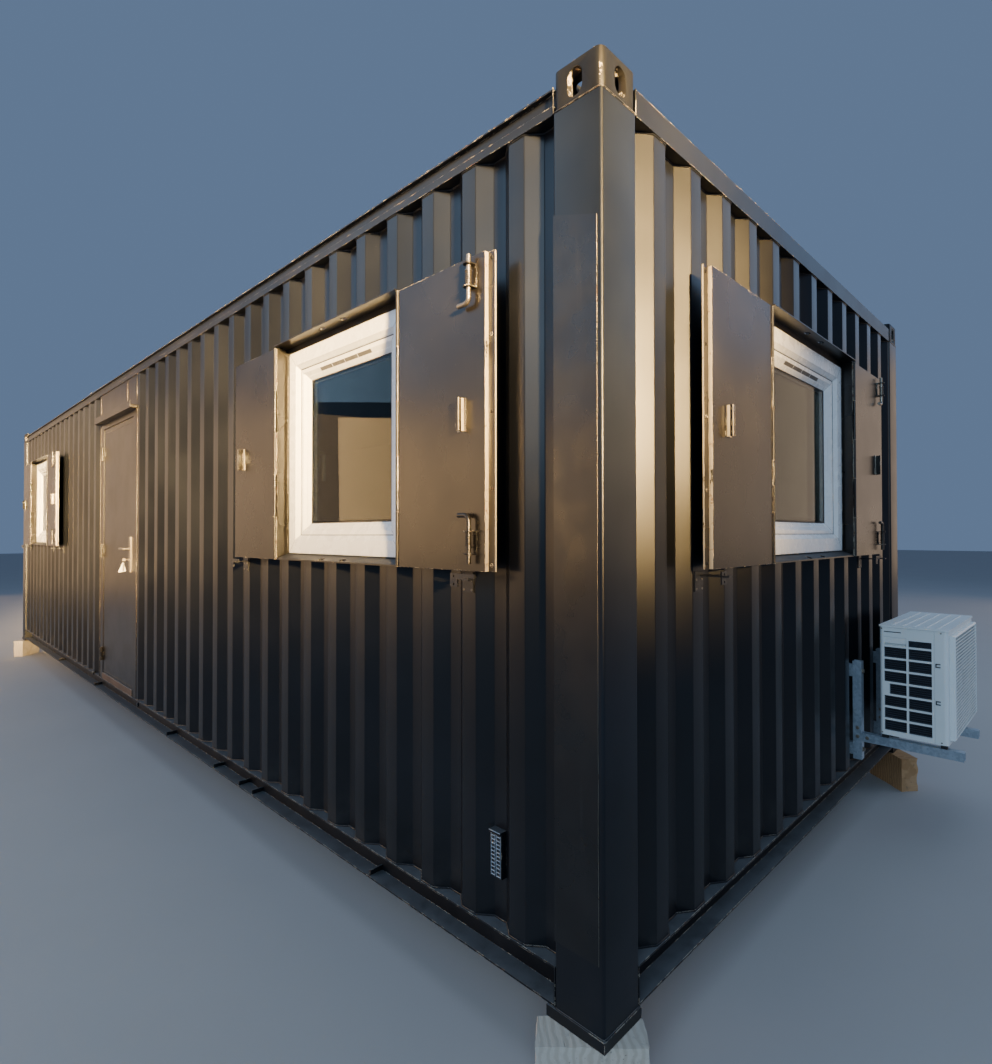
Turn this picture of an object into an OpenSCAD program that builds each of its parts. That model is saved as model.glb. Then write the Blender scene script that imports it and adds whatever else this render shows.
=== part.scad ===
// Shipping container cabin, 30 ft long and 10 ft wide, standing on timber blocks.
// Its steel shell has corrugated walls, an outward opening entrance door, three
// white framed windows with pairs of steel shutters, and an outdoor cooling unit
// on a wall bracket. All sizes are in millimetres. Heights are measured from the
// underside of the foot plates, and on_blocks() lifts everything onto the timber.

/* [Cabin] */
// Length over the corner posts
cabin_l = 9144; // [8200:1:12200]
// Width over the corner posts
cabin_w = 3048; // [2700:1:3500]
// Height from the foot plates to the top of the corner fittings
cabin_h = 2591; // [2520:1:2900]

/* [Corner posts] */
// Post size along the cabin
post_l = 168; // [140:1:185]
// Post size across the cabin
post_w = 160; // [130:1:180]
// Wall of the folded post
post_wall = 6; // [3:0.5:12]
// Height of a corner fitting
fitting_h = 110; // [105:1:125]
// Wall of a corner fitting
fitting_wall = 24; // [16:1:30]
// Corner radius of a fitting
fitting_r = 12; // [3:1:15]
// Height of a fitting's side slot
slot_h = 79; // [60:1:84]
// Width of a fitting's side slot
slot_w = 51; // [36:1:60]
// Thickness of a foot plate
foot_t = 30; // [16:1:50]
// How far a foot plate stands proud of the post
foot_lip = 4; // [0:1:10]
// Extra length of a foot plate along the cabin
foot_extra = 26; // [6:1:60]

/* [Rails] */
// Set back of the rails from the post faces
rail_set = 2; // [1:1:5]
// Height of the bottom rail channel
bottom_rail_h = 110; // [80:1:160]
// Depth of the bottom rail flanges
bottom_rail_d = 65; // [50:1:80]
// Steel thickness of the bottom rail
bottom_rail_t = 6; // [4:0.5:10]
// Height of the top rail
top_rail_h = 74; // [50:1:85]
// Depth of the top rail
top_rail_d = 60; // [56:1:90]
// How far the top rail lies below the top of the fittings
top_rail_drop = 37; // [34:1:60]
// Height of the top rail's lower band
rail_band = 26; // [10:1:35]
// Thickness of the top rail's upper lip
rail_lip = 5; // [3:1:10]
// Depth of the recess in the side rail
rail_recess = 14; // [4:1:30]

/* [Corrugated sheet] */
// Set back of the outer ribs from the post faces
sheet_set = 8; // [4:1:10]
// Depth of the corrugation
sheet_d = 35; // [20:1:36]
// Thickness of the sheet
sheet_t = 2; // [1.2:0.2:4]
// Width of an outer rib
rib_w = 64; // [40:1:80]
// Width of a sloping flank
rib_slope = 48; // [30:1:55]
// Pitch of the long walls' ribs
long_pitch = 213.4; // [195:0.2:260]
// Pitch of the end walls' ribs
end_pitch = 218; // [195:0.5:260]
// From the cabin's corner to the middle of the first rib on a long wall
long_first = 317.5; // [260:0.5:420]
// From the cabin's corner to the middle of the first rib on an end wall
end_first = 294; // [250:0.5:420]
// Pitch of the roof's ribs
roof_pitch = 209; // [160:1:260]
// Depth of the roof's ribs
roof_d = 18; // [8:1:26]

/* [Floor and lining] */
// Thickness of the floor boards
deck_t = 28; // [18:1:36]
// Spacing of the steel bearers under the floor
bearer_pitch = 760; // [500:10:1200]
// Width of a bearer
bearer_w = 45; // [30:1:80]
// Steel thickness of a bearer
bearer_t = 5; // [3:0.5:8]
// Depth from the post face to the back of the wall lining
lining_set = 55; // [52:1:60]
// Thickness of the wall lining and ceiling
lining_t = 12; // [6:1:20]
// From the top of the corner fittings down to the ceiling
ceiling_drop = 171; // [150:1:290]

/* [Windows] */
// Middle of the near window from the cabin's near corner
near_window_from = 1292; // [1220:1:1600]
// Middle of the far window from the cabin's far corner
far_window_from = 1494; // [1240:1:1700]
// Middle of the end window from the cabin's front corner
end_window_from = 1444; // [1300:1:1560]
// Width of the near window's steel surround
near_window_w = 930; // [800:1:960]
// Width of the other windows' steel surrounds
wide_window_w = 980; // [800:1:1020]
// Underside of the window surrounds
window_z = 1208; // [1100:1:1260]
// Height of the window surrounds up to the hood
window_h = 944; // [700:1:1000]
// Plate thickness of the surrounds
surround_t = 4; // [3:0.5:8]
// How far the surrounds stand out from the post faces
surround_out = 57; // [45:1:65]
// Height of the sill's sloping section
sill_h = 28; // [20:1:40]
// Height of the sill's front edge
sill_lip = 6; // [3:1:12]
// How far the hood runs out past the surround
hood_out = 14; // [4:1:24]
// Width of the packing beside a window frame
packing_w = 22; // [10:1:30]
// Height of the packing over a window frame
packing_h = 26; // [10:1:36]
// Clearance between a window frame and what surrounds it
frame_gap = 3; // [1:0.5:6]
// How far the window frames stand out from the post faces
frame_out = 13; // [4:1:20]
// Depth of the white window frame
frame_d = 66; // [56:1:70]
// Face width of the window frame
frame_face = 79; // [64:1:84]
// Width of the frame's flat outer face before its slope
frame_flat = 60; // [40:1:62]
// Depth of the frame's slope
frame_slope_d = 12; // [4:1:14]
// Face width of the opening sash
sash_face = 51; // [45:1:64]
// How far the sash lies behind the face of its frame
sash_in = 16; // [14:1:22]
// Width of the sash's flat face before its slope
sash_flat = 18; // [10:1:22]
// Depth of the sash from its flat face to the glass
sash_slope_d = 24; // [14:1:28]
// How far the sash stands out of its frame inside the room
sash_inside = 8; // [2:1:12]
// Thickness of the glazing unit
pane_t = 24; // [12:1:24]

/* [Shutters] */
// Thickness of a shutter leaf
leaf_t = 20; // [12:1:26]
// Thickness of the strip along a leaf's free edge
leaf_strip_t = 6; // [4:1:10]
// Width of the strip along a leaf's free edge
leaf_strip_w = 28; // [10:1:40]
// Clearance between a leaf and the surround, hood or other leaf
leaf_gap = 5; // [5:0.5:8]
// Radius of a shutter hinge barrel
hinge_r = 6; // [5:0.5:8]
// Radius of a shutter bolt
bolt_r = 7; // [4:0.5:8]
// Length of a shutter bolt up to its bent handle
bolt_l = 143; // [130:1:220]
// Bend radius of a shutter bolt's handle
bolt_bend = 18; // [10:1:24]
// Length of the straight handle past the bend
bolt_arm = 28; // [20:1:50]
// Distance between a bolt's two guides
guide_span = 71; // [50:1:80]
// From a leaf's free edge to its bolts
bolt_in = 80; // [60:1:120]
// Height of a bolt above the face of its leaf
bolt_up = 18; // [14:1:22]
// From a leaf's free edge to its pull handle
pull_in = 130; // [110:1:160]
// Height of the pull handle
pull_h = 100; // [60:1:140]

/* [Entrance door] */
// Middle of the door from the cabin's near corner
door_from = 4704; // [3600:1:5000]
// Width of the door leaf
door_w = 846; // [760:1:920]
// Height of the panel between the door frame and the top rail
over_door_h = 246; // [60:1:340]
// Thickness of the door leaf
door_t = 44; // [36:1:46]
// Underside of the door leaf
door_z = 192; // [188:1:210]
// Set back of the door's face from the post faces
door_set = 12; // [10:1:13]
// Gap at the door's hinged edge and head
door_gap = 5; // [5:0.5:8]
// Gap at the door's closing edge
door_close_gap = 8; // [7:0.5:12]
// Face width of the door frame
jamb_w = 100; // [60:1:120]
// Height of the frame's head
head_h = 45; // [30:1:50]
// How far the frame's stop covers the leaf
stop_w = 15; // [8:1:25]
// Radius of a door hinge barrel
door_hinge_r = 8; // [6:0.5:9]
// Length of a door hinge
door_hinge_l = 108; // [80:1:140]
// From the foot of the door to the middle of its lowest hinge
hinge_low = 150; // [100:1:300]
// From the head of the door to the middle of its highest hinge
hinge_high = 200; // [100:1:300]
// Depth of the rain gutter over the door
gutter_d = 47; // [30:1:60]
// Height of the gutter's front
gutter_h = 50; // [20:1:70]
// Steel thickness of the gutter
gutter_t = 3; // [2:0.5:5]
// Height of the lever above the underside of the foot plates
lever_z = 1214; // [1000:1:1400]
// Height of the lever's back plate
plate_h = 262; // [180:1:300]
// How far the back plate reaches below the lever
plate_drop = 172; // [100:1:200]

/* [Cooling unit] */
// From the cabin's rear corner to the unit's far side
unit_from_rear = 218; // [170:1:560]
// Width of the unit along the wall
unit_w = 705; // [600:1:800]
// Depth of the unit's casing
unit_d = 289; // [240:1:300]
// Height of the unit's casing
unit_h = 530; // [450:1:600]
// Gap between the end wall's post face and the casing
unit_off = 116; // [90:1:140]
// Corner radius of the casing
unit_r = 18; // [6:1:30]
// Top of the bracket arms
arm_z = 308; // [240:1:420]
// Size of the bracket's square steel channel
arm_w = 41; // [30:1:50]
// Reach of the bracket arms from the post face
arm_reach = 463; // [455:1:520]
// Spacing of the bracket arms, which keep to the grooves of the sheet
arm_pitch = 436; // [330:1:560]
// Height of the rubber pads
pad_h = 18; // [8:1:40]
// How far the front grille stands out of the casing
grille_out = 24; // [14:1:30]
// Number of slats in the front grille
grille_slats = 28; // [10:1:32]

/* [Timber blocks] */
// Length of a block
block_l = 295; // [220:1:320]
// Width of a block
block_w = 104; // [80:1:150]
// Height of a block
block_h = 190; // [60:1:300]
// Turn of a block from the cabin's length
block_turn = 41; // [30:1:50]

/* [Hidden] */
$fn = 32;
// A small overlap that lets a cut run clean through a face
cut = 1;
// Gap that keeps boards and sheets off the posts
seat_gap = 0.5;

paint = [0.085, 0.09, 0.1];
worn_paint = [0.12, 0.11, 0.11];
white = [0.93, 0.93, 0.92];
zinc = [0.62, 0.64, 0.66];
timber = [0.62, 0.52, 0.38];
board = [0.86, 0.86, 0.84];

// Heights that the rails set
rail_top = cabin_h - top_rail_drop;
wall_top = rail_top - top_rail_h;
wall_bottom = foot_t + bottom_rail_h;
deck_top = wall_bottom + deck_t;
ceiling_z = cabin_h - ceiling_drop;
post_top = cabin_h - fitting_h;
lining_face = lining_set + lining_t;

// Faces of the cabin, numbered 0 front, 1 window end, 2 rear, 3 plain end
FRONT = 0;
NEAR_END = 1;
REAR = 2;
FAR_END = 3;

// Ends of a wall's corrugated run, measured from the wall's middle
front_run = cabin_l / 2 - post_l;
end_run = cabin_w / 2 - post_w;

// Window centres measured from the middle of their wall, seen from outside
near_window_s = cabin_l / 2 - near_window_from;
far_window_s = far_window_from - cabin_l / 2;
end_window_s = end_window_from - cabin_w / 2;
window_top = window_z + window_h;
WINDOWS = [
    [FRONT, near_window_s, near_window_w],
    [NEAR_END, end_window_s, wide_window_w],
    [FRONT, far_window_s, wide_window_w]
];

// Hinge line of the shutters: outside the surround and clear of its front edge
hinge_side = hinge_r + 1;
hinge_face = -(surround_out + leaf_gap);
leaf_edge = hinge_r + 2;
leaf_bottom = window_z + 1;
leaf_top = window_top - leaf_gap;

// Places on the front wall that the door sets
door_h = wall_top - over_door_h - head_h - door_gap - door_z;
door_s = cabin_l / 2 - door_from;
door_hinge_s = door_s - door_w / 2 - door_gap / 2;
door_axis = door_set - door_hinge_r - 6;
frame_left = door_s - door_w / 2 - door_gap;
frame_right = door_s + door_w / 2 + door_close_gap;
frame_top = door_z + door_h + door_gap;
door_head_top = frame_top + head_h;
threshold_top = door_z - 6;

// The rib nearest to a place on a wall, and the groove nearest on an end wall
function nearest_rib(s, rib_s, pitch) = rib_s + round((s - rib_s) / pitch) * pitch;
function nearest_groove(s) = nearest_rib(s, end_first - cabin_w / 2 + end_pitch / 2, end_pitch);

// The cooling unit, measured from the middle of the end wall
unit_s = cabin_w / 2 - unit_from_rear - unit_w;
arm_low = nearest_groove(unit_s + arm_w / 2);
arm_high = nearest_groove(unit_s + arm_w / 2 + arm_pitch);
unit_z = arm_z + pad_h;

// Blocks under the corners: inset of a block's middle from the cabin's corner
front_block_in = [68, 33];
rear_block_in = [14, 108];
block_half_x = (block_l * cos(block_turn) + block_w * sin(block_turn)) / 2;
block_half_y = (block_l * sin(block_turn) + block_w * cos(block_turn)) / 2;

// The origin lies on the ground, at the middle of everything that stands over it
reach_right = max(arm_reach, block_half_x - rear_block_in[0]);
reach_left = max(foot_lip, block_half_x - rear_block_in[0]);
leaf_reach = surround_out + leaf_gap + bolt_up + bolt_r;
reach_front = max(leaf_reach, block_half_y - front_block_in[1]);
reach_rear = max(foot_lip, block_half_y - rear_block_in[1]);
mid_x = (reach_right - reach_left) / 2;
mid_y = (reach_rear - reach_front) / 2;

module on_blocks() {
    translate([-mid_x, -mid_y, block_h])
        children();
}

// Carries a wall's pieces to its side. In wall axes +X runs to the right seen
// from outside, +Y runs inwards from the post faces and +Z is up.
module on_wall(side) {
    reach = side % 2 == 0 ? cabin_w / 2 : cabin_l / 2;
    on_blocks()
        rotate([0, 0, 90 * side])
            translate([0, -reach, 0])
                children();
}

module block(low, high) {
    translate(low)
        cube(high - low);
}

// Mirrors its children to all four corners of the cabin, on the blocks
module at_corners() {
    on_blocks()
        for (side_x = [-1, 1], side_y = [-1, 1])
            scale([side_x, side_y, 1])
                translate([cabin_l / 2, cabin_w / 2, 0])
                    children();
}

// Corner structure

module corner_posts() color(paint) {
    at_corners()
        difference() {
            block([-post_l, -post_w, foot_t], [0, 0, post_top]);
            block(
                [-post_l + post_wall, -post_w + post_wall, foot_t - cut],
                [-post_wall, -post_wall, post_top + cut]
            );
        }
}

module obround(length, width, depth) {
    spread = (length - width) / 2;
    linear_extrude(depth)
        union() {
            square([width, 2 * spread], center = true);
            translate([0, spread])
                circle(d = width);
            translate([0, -spread])
                circle(d = width);
        }
}

module rounded_bar(size_x, size_y, height, r) {
    linear_extrude(height)
        union() {
            square([size_x - 2 * r, size_y], center = true);
            square([size_x, size_y - 2 * r], center = true);
            for (x = [-1, 1], y = [-1, 1])
                translate([x * (size_x / 2 - r), y * (size_y / 2 - r)])
                    circle(r = r);
        }
}

module corner_fitting() {
    lift_slot_l = 112;
    lift_slot_w = 62;
    slot_z = cabin_h - fitting_h / 2 - 3;
    difference() {
        translate([-post_l / 2, -post_w / 2, post_top])
            rounded_bar(post_l, post_w, fitting_h, fitting_r);
        block(
            [-post_l + fitting_wall, -post_w + fitting_wall, post_top + fitting_wall / 2],
            [-fitting_wall, -fitting_wall, cabin_h - fitting_wall]
        );
        translate([-post_l / 2 - 5, -fitting_wall - cut, slot_z])
            rotate([-90, 0, 0])
                obround(slot_h, slot_w, fitting_wall + 2 * cut);
        translate([-fitting_wall - cut, -post_w / 2 - 5, slot_z])
            rotate([90, 0, 90])
                obround(slot_h, slot_w, fitting_wall + 2 * cut);
        translate([-post_l / 2, -post_w / 2, cabin_h - fitting_wall - cut])
            rotate([0, 0, 90])
                obround(lift_slot_l, lift_slot_w, fitting_wall + 2 * cut);
    }
}

module corner_fittings() color(worn_paint) {
    at_corners()
        corner_fitting();
}

module foot_plates() color(worn_paint) {
    at_corners()
        block(
            [-post_l - foot_extra, -post_w - foot_lip, 0],
            [foot_lip, foot_lip, foot_t]
        );
}

// Rails

module bottom_rail(run) {
    outer = rail_set;
    inner = rail_set + bottom_rail_d;
    z0 = foot_t;
    z1 = wall_bottom;
    translate([run, 0, 0])
        rotate([90, 0, -90])
            linear_extrude(2 * run)
                polygon([
                    [-outer, z0], [-inner, z0], [-inner, z1], [-outer, z1],
                    [-outer, z1 - bottom_rail_t],
                    [-inner + bottom_rail_t, z1 - bottom_rail_t],
                    [-inner + bottom_rail_t, z0 + bottom_rail_t],
                    [-outer, z0 + bottom_rail_t]
                ]);
}

module side_bottom_rails() color(paint) {
    for (side = [FRONT, REAR])
        on_wall(side)
            bottom_rail(front_run);
}

module end_bottom_rails() color(paint) {
    for (side = [NEAR_END, FAR_END])
        on_wall(side)
            bottom_rail(end_run);
}

module side_top_rail() {
    outer = rail_set;
    inner = rail_set + top_rail_d;
    back = outer + rail_recess;
    z0 = wall_top;
    z1 = rail_top;
    translate([front_run, 0, 0])
        rotate([90, 0, -90])
            linear_extrude(2 * front_run)
                polygon([
                    [-outer, z0], [-inner, z0], [-inner, z1], [-outer, z1],
                    [-outer, z1 - rail_lip], [-back, z1 - rail_lip],
                    [-back, z0 + rail_band], [-outer, z0 + rail_band]
                ]);
}

module side_top_rails() color(paint) {
    for (side = [FRONT, REAR])
        on_wall(side)
            side_top_rail();
}

module end_top_rails() color(paint) {
    for (side = [NEAR_END, FAR_END])
        on_wall(side)
            block(
                [-end_run, rail_set, wall_top],
                [end_run, rail_set + top_rail_d, rail_top]
            );
}

// Floor, roof and linings

module corner_notches(z0, z1, gap) {
    for (side_x = [-1, 1], side_y = [-1, 1])
        scale([side_x, side_y, 1])
            block(
                [cabin_l / 2 - post_l - gap, cabin_w / 2 - post_w - gap, z0],
                [cabin_l / 2 + cut, cabin_w / 2 + cut, z1]
            );
}

module floor_bearers() color(paint) {
    from_plate = 60;
    web_x = cabin_l / 2 - post_l - foot_extra - from_plate;
    half_y = cabin_w / 2 - rail_set - bottom_rail_d;
    bays = ceil(2 * web_x / bearer_pitch);
    on_blocks()
        for (i = [0 : bays]) {
            x = -web_x + i * 2 * web_x / bays;
            translate([x, half_y, 0])
                rotate([90, 0, 0])
                    linear_extrude(2 * half_y)
                        polygon([
                            [0, foot_t], [bearer_w, foot_t],
                            [bearer_w, foot_t + bearer_t], [bearer_t, foot_t + bearer_t],
                            [bearer_t, wall_bottom - bearer_t],
                            [bearer_w, wall_bottom - bearer_t],
                            [bearer_w, wall_bottom], [0, wall_bottom]
                        ]);
        }
}

module floor_deck() color(timber) {
    edge = sheet_set + sheet_d + sheet_t + seat_gap;
    on_blocks()
        difference() {
            block(
                [-cabin_l / 2 + edge, -cabin_w / 2 + edge, wall_bottom],
                [cabin_l / 2 - edge, cabin_w / 2 - edge, deck_top]
            );
            corner_notches(wall_bottom - cut, deck_top + cut, seat_gap);
            // Room for the door frame and its threshold
            block(
                [frame_left - jamb_w - seat_gap, -cabin_w / 2, wall_bottom - cut],
                [
                    frame_right + jamb_w + seat_gap,
                    lining_face + seat_gap - cabin_w / 2,
                    deck_top + cut
                ]
            );
        }
}

module ceiling() color(board) {
    on_blocks()
        difference() {
            block(
                [-cabin_l / 2 + lining_set, -cabin_w / 2 + lining_set, ceiling_z],
                [cabin_l / 2 - lining_set, cabin_w / 2 - lining_set, ceiling_z + lining_t]
            );
            corner_notches(ceiling_z - cut, ceiling_z + lining_t + cut, seat_gap);
        }
}

// One corrugated run from s0 to s1. Ribs stand out at rib_s plus whole pitches,
// with their faces at y = 0, and the sheet has the same thickness all along.
module corrugated(s0, s1, rib_s, pitch, depth, thick, height) {
    slope_angle = atan2(depth, rib_slope);
    fold = thick * tan(slope_angle / 2);
    first = ceil((s0 - rib_s) / pitch) - 1;
    last = floor((s1 - rib_s) / pitch) + 1;
    half = rib_w / 2;
    foot = half + rib_slope;
    outer = [
        for (k = [first : last], p = [[-foot, depth], [-half, 0], [half, 0], [foot, depth]])
            [rib_s + k * pitch + p[0], p[1]]
    ];
    inner = [
        for (
            k = [last : -1 : first],
            p = [
                [foot - fold, depth], [half - fold, 0],
                [fold - half, 0], [fold - foot, depth]
            ]
        )
            [rib_s + k * pitch + p[0], p[1] + thick]
    ];
    intersection() {
        linear_extrude(height)
            polygon(concat(outer, inner));
        block([s0, -cut, -cut], [s1, depth + thick + cut, height + cut]);
    }
}

module wall_sheet(s0, s1, rib_s, pitch) {
    translate([0, sheet_set, wall_bottom])
        corrugated(s0, s1, rib_s, pitch, sheet_d, sheet_t, wall_top - wall_bottom);
}

module window_hole(s, w) {
    block(
        [s - w / 2, sheet_set - cut, window_z],
        [s + w / 2, lining_face + cut, window_top + surround_t]
    );
}

module front_wall_near() color(paint) {
    on_wall(FRONT)
        difference() {
            wall_sheet(frame_right + jamb_w, front_run, cabin_l / 2 - long_first, long_pitch);
            window_hole(near_window_s, near_window_w);
        }
}

module front_wall_far() color(paint) {
    on_wall(FRONT)
        difference() {
            wall_sheet(-front_run, frame_left - jamb_w, cabin_l / 2 - long_first, long_pitch);
            window_hole(far_window_s, wide_window_w);
        }
}

module over_door_panel() color(paint) {
    panel_t = 3;
    on_wall(FRONT)
        block(
            [frame_left - jamb_w, sheet_set, door_head_top],
            [frame_right + jamb_w, sheet_set + panel_t, wall_top]
        );
}

module rear_wall() color(paint) {
    on_wall(REAR)
        wall_sheet(-front_run, front_run, cabin_l / 2 - long_first, long_pitch);
}

module window_end_wall() color(paint) {
    on_wall(NEAR_END)
        difference() {
            wall_sheet(-end_run, end_run, end_first - cabin_w / 2, end_pitch);
            window_hole(end_window_s, wide_window_w);
        }
}

module plain_end_wall() color(paint) {
    on_wall(FAR_END)
        wall_sheet(-end_run, end_run, end_first - cabin_w / 2, end_pitch);
}

// The ribbed roof lies between the corner fittings, with a flat plate at each end
module roof_sheet() color(paint) {
    edge = rail_set + top_rail_d / 2;
    half_y = cabin_w / 2 - edge;
    plate_x = cabin_l / 2 - post_l;
    plate_y = cabin_w / 2 - post_w - seat_gap;
    on_blocks() {
        translate([0, half_y, rail_top + roof_d + sheet_t])
            rotate([90, 0, 0])
                linear_extrude(2 * half_y)
                    mirror([0, 1])
                        roof_profile(plate_x - seat_gap);
        for (side = [-1, 1])
            scale([side, 1, 1])
                block(
                    [plate_x, -plate_y, rail_top],
                    [cabin_l / 2 - edge, plate_y, rail_top + sheet_t]
                );
    }
}

module roof_profile(half_x) {
    fold = sheet_t * tan(atan2(roof_d, rib_slope) / 2);
    half = rib_w / 2;
    foot = half + rib_slope;
    ribs = floor((half_x - foot - cut) / roof_pitch);
    outer = [
        for (k = [-ribs : ribs], p = [[-foot, roof_d], [-half, 0], [half, 0], [foot, roof_d]])
            [k * roof_pitch + p[0], p[1]]
    ];
    inner = [
        for (
            k = [ribs : -1 : -ribs],
            p = [
                [foot - fold, roof_d], [half - fold, 0],
                [fold - half, 0], [fold - foot, roof_d]
            ]
        )
            [k * roof_pitch + p[0], p[1] + sheet_t]
    ];
    ends = [[half_x, roof_d], [half_x, roof_d + sheet_t]];
    tail = [[-half_x, roof_d + sheet_t], [-half_x, roof_d]];
    polygon(concat(outer, ends, inner, tail));
}

module lining_board(s0, s1, z0) {
    block([s0, lining_set, z0], [s1, lining_face, ceiling_z]);
}

// The front lining is three boards, so that the doorway stays open between them
module wall_lining() color(board) {
    run = front_run - seat_gap;
    end = end_run - seat_gap;
    frame_near = frame_right + jamb_w;
    frame_far = frame_left - jamb_w;
    on_wall(FRONT) {
        difference() {
            lining_board(frame_near + seat_gap, run, deck_top);
            window_hole(near_window_s, near_window_w);
        }
        difference() {
            lining_board(-run, frame_far - seat_gap, deck_top);
            window_hole(far_window_s, wide_window_w);
        }
        lining_board(frame_far, frame_near, door_head_top);
    }
    on_wall(REAR)
        lining_board(-run, run, deck_top);
    on_wall(NEAR_END)
        difference() {
            lining_board(-end, end, deck_top);
            window_hole(end_window_s, wide_window_w);
        }
    on_wall(FAR_END)
        lining_board(-end, end, deck_top);
}

// Entrance

module door_jamb(side) {
    // The jamb's box starts at x = 0 by the leaf and runs away from it. The stop
    // behind the leaf stands on the threshold.
    stop_d = door_set + door_t + door_gap;
    jamb_wall = 3;
    height = frame_top - wall_bottom;
    scale([side, 1, 1])
        difference() {
            union() {
                block([0, sheet_set, 0], [jamb_w, lining_face, height]);
                block([-stop_w, stop_d, threshold_top - wall_bottom], [cut, lining_face, height]);
            }
            block(
                [jamb_wall, sheet_set + jamb_wall, -cut],
                [jamb_w - jamb_wall, lining_face - jamb_wall, height + cut]
            );
        }
}

module door_jambs() color(paint) {
    on_wall(FRONT) {
        translate([frame_right, 0, wall_bottom])
            door_jamb(1);
        translate([frame_left, 0, wall_bottom])
            door_jamb(-1);
    }
}

module door_head() color(paint) {
    on_wall(FRONT)
        block(
            [frame_left - jamb_w, sheet_set, frame_top],
            [frame_right + jamb_w, lining_face, door_head_top]
        );
}

module door_gutter() color(paint) {
    front = sheet_set - gutter_d;
    on_wall(FRONT)
        translate([frame_right + jamb_w, 0, door_head_top])
            rotate([90, 0, -90])
                linear_extrude(frame_right - frame_left + 2 * jamb_w)
                    polygon([
                        [-sheet_set, 0], [-front, 0], [-front, gutter_h],
                        [-front - gutter_t, gutter_h], [-front - gutter_t, gutter_t],
                        [-sheet_set, gutter_t]
                    ]);
}

module threshold() color([0.30, 0.20, 0.14]) {
    on_wall(FRONT)
        block(
            [frame_left, rail_set + 2, wall_bottom],
            [frame_right, lining_face, threshold_top]
        );
}

// Hinges. A barrel is cut into an odd number of knuckles, and the even ones turn.
knuckle_gap = 0.3;
door_hinge_zs = [door_z + hinge_low, door_z + door_h / 2, door_z + door_h - hinge_high];

module knuckles(z0, z1, parts, first, r, $fn = 24) {
    step = (z1 - z0) / parts;
    for (i = [first : 2 : parts - 1])
        translate([0, 0, z0 + i * step + knuckle_gap / 2])
            cylinder(r = r, h = step - knuckle_gap);
}

// A strip beside each knuckle of the same set, from x0 to x1 and y0 to y1
module knuckle_strips(z0, z1, parts, first, x0, x1, y0, y1) {
    step = (z1 - z0) / parts;
    for (i = [first : 2 : parts - 1])
        block(
            [x0, y0, z0 + i * step + knuckle_gap / 2],
            [x1, y1, z0 + (i + 1) * step - knuckle_gap / 2]
        );
}

leaf_knuckles = 5;

module fixed_shutter_hinge() {
    strip_t = 3;
    union() {
        knuckles(leaf_bottom, leaf_top, leaf_knuckles, 0, hinge_r);
        knuckle_strips(
            leaf_bottom, leaf_top, leaf_knuckles, 0,
            -hinge_side, -hinge_side + strip_t, leaf_gap - 1, leaf_gap + 22
        );
        knuckle_strips(
            leaf_bottom, leaf_top, leaf_knuckles, 0,
            -hinge_side, -1, leaf_gap - 1, leaf_gap + 1
        );
    }
}

module fixed_door_hinge(z) {
    flap_t = 3;
    flap_w = 34;
    face = sheet_set - door_axis;
    z0 = z - door_hinge_l / 2;
    z1 = z + door_hinge_l / 2;
    union() {
        knuckles(z0, z1, 3, 0, door_hinge_r);
        knuckle_strips(z0, z1, 3, 0, -flap_w, -2, face - flap_t, face);
        knuckle_strips(z0, z1, 3, 0, -door_hinge_r + 1, -2, 0, face);
    }
}

module fixed_hinges() color(worn_paint) {
    for (window = WINDOWS)
        on_wall(window[0])
            for (side = [-1, 1])
                translate([window[1] + side * (window[2] / 2 + hinge_side), hinge_face, 0])
                    scale([side, 1, 1])
                        fixed_shutter_hinge();
    on_wall(FRONT)
        translate([door_hinge_s, door_axis, 0])
            for (z = door_hinge_zs)
                fixed_door_hinge(z);
}

module door_leaf() color(paint) {
    flap_t = 3;
    flap_w = 38;
    face = door_set - door_axis;
    on_wall(FRONT)
        union() {
            block(
                [door_s - door_w / 2, door_set, door_z],
                [door_s + door_w / 2, door_set + door_t, door_z + door_h]
            );
            translate([door_hinge_s, door_axis, 0])
                for (z = door_hinge_zs) {
                    z0 = z - door_hinge_l / 2;
                    z1 = z + door_hinge_l / 2;
                    knuckles(z0, z1, 3, 1, door_hinge_r);
                    knuckle_strips(z0, z1, 3, 1, 2, door_hinge_r - 1, 0, face);
                    knuckle_strips(z0, z1, 3, 1, door_gap / 2, flap_w, face - flap_t, face);
                }
        }
}

// Lever furniture on one face: y = 0 is the leaf's face and -y points away from it
module lever_set() {
    plate_w = 42;
    plate_t = 8;
    lever_out = 44;
    lever_l = 116;
    lever_r = 9;
    lock_drop = 78;
    union() {
        block([-plate_w / 2, -plate_t, -plate_drop], [plate_w / 2, 0, plate_h - plate_drop]);
        rotate([90, 0, 0])
            cylinder(r = 13, h = plate_t + 8);
        rotate([90, 0, 0])
            cylinder(r = lever_r, h = lever_out + lever_r);
        translate([0, -lever_out, 0])
            rotate([0, -90, 0])
                cylinder(r = lever_r, h = lever_l);
        translate([0, 0, -lock_drop])
            rotate([90, 0, 0])
                cylinder(r = 10, h = plate_t + 12);
    }
}

module door_handle() color(zinc) {
    handle_in = 62;
    on_wall(FRONT)
        translate([door_s + door_w / 2 - handle_in, door_set, lever_z]) {
            lever_set();
            translate([0, door_t, 0])
                mirror([0, 1, 0])
                    lever_set();
        }
}

// Windows

// How far the packing round a window lies behind the face of its frame
packing_set = 6;

module window_hoods() color(paint) {
    for (window = WINDOWS)
        on_wall(window[0])
            translate([window[1], 0, window_top])
                difference() {
                    union() {
                        block(
                            [-window[2] / 2, -surround_out - hood_out, 0],
                            [window[2] / 2, lining_face, surround_t]
                        );
                        block(
                            [surround_t - window[2] / 2, packing_set - frame_out, -packing_h],
                            [window[2] / 2 - surround_t, lining_face, cut]
                        );
                    }
                    bolt_slots(-cut, surround_t + cut);
                }
}

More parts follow.
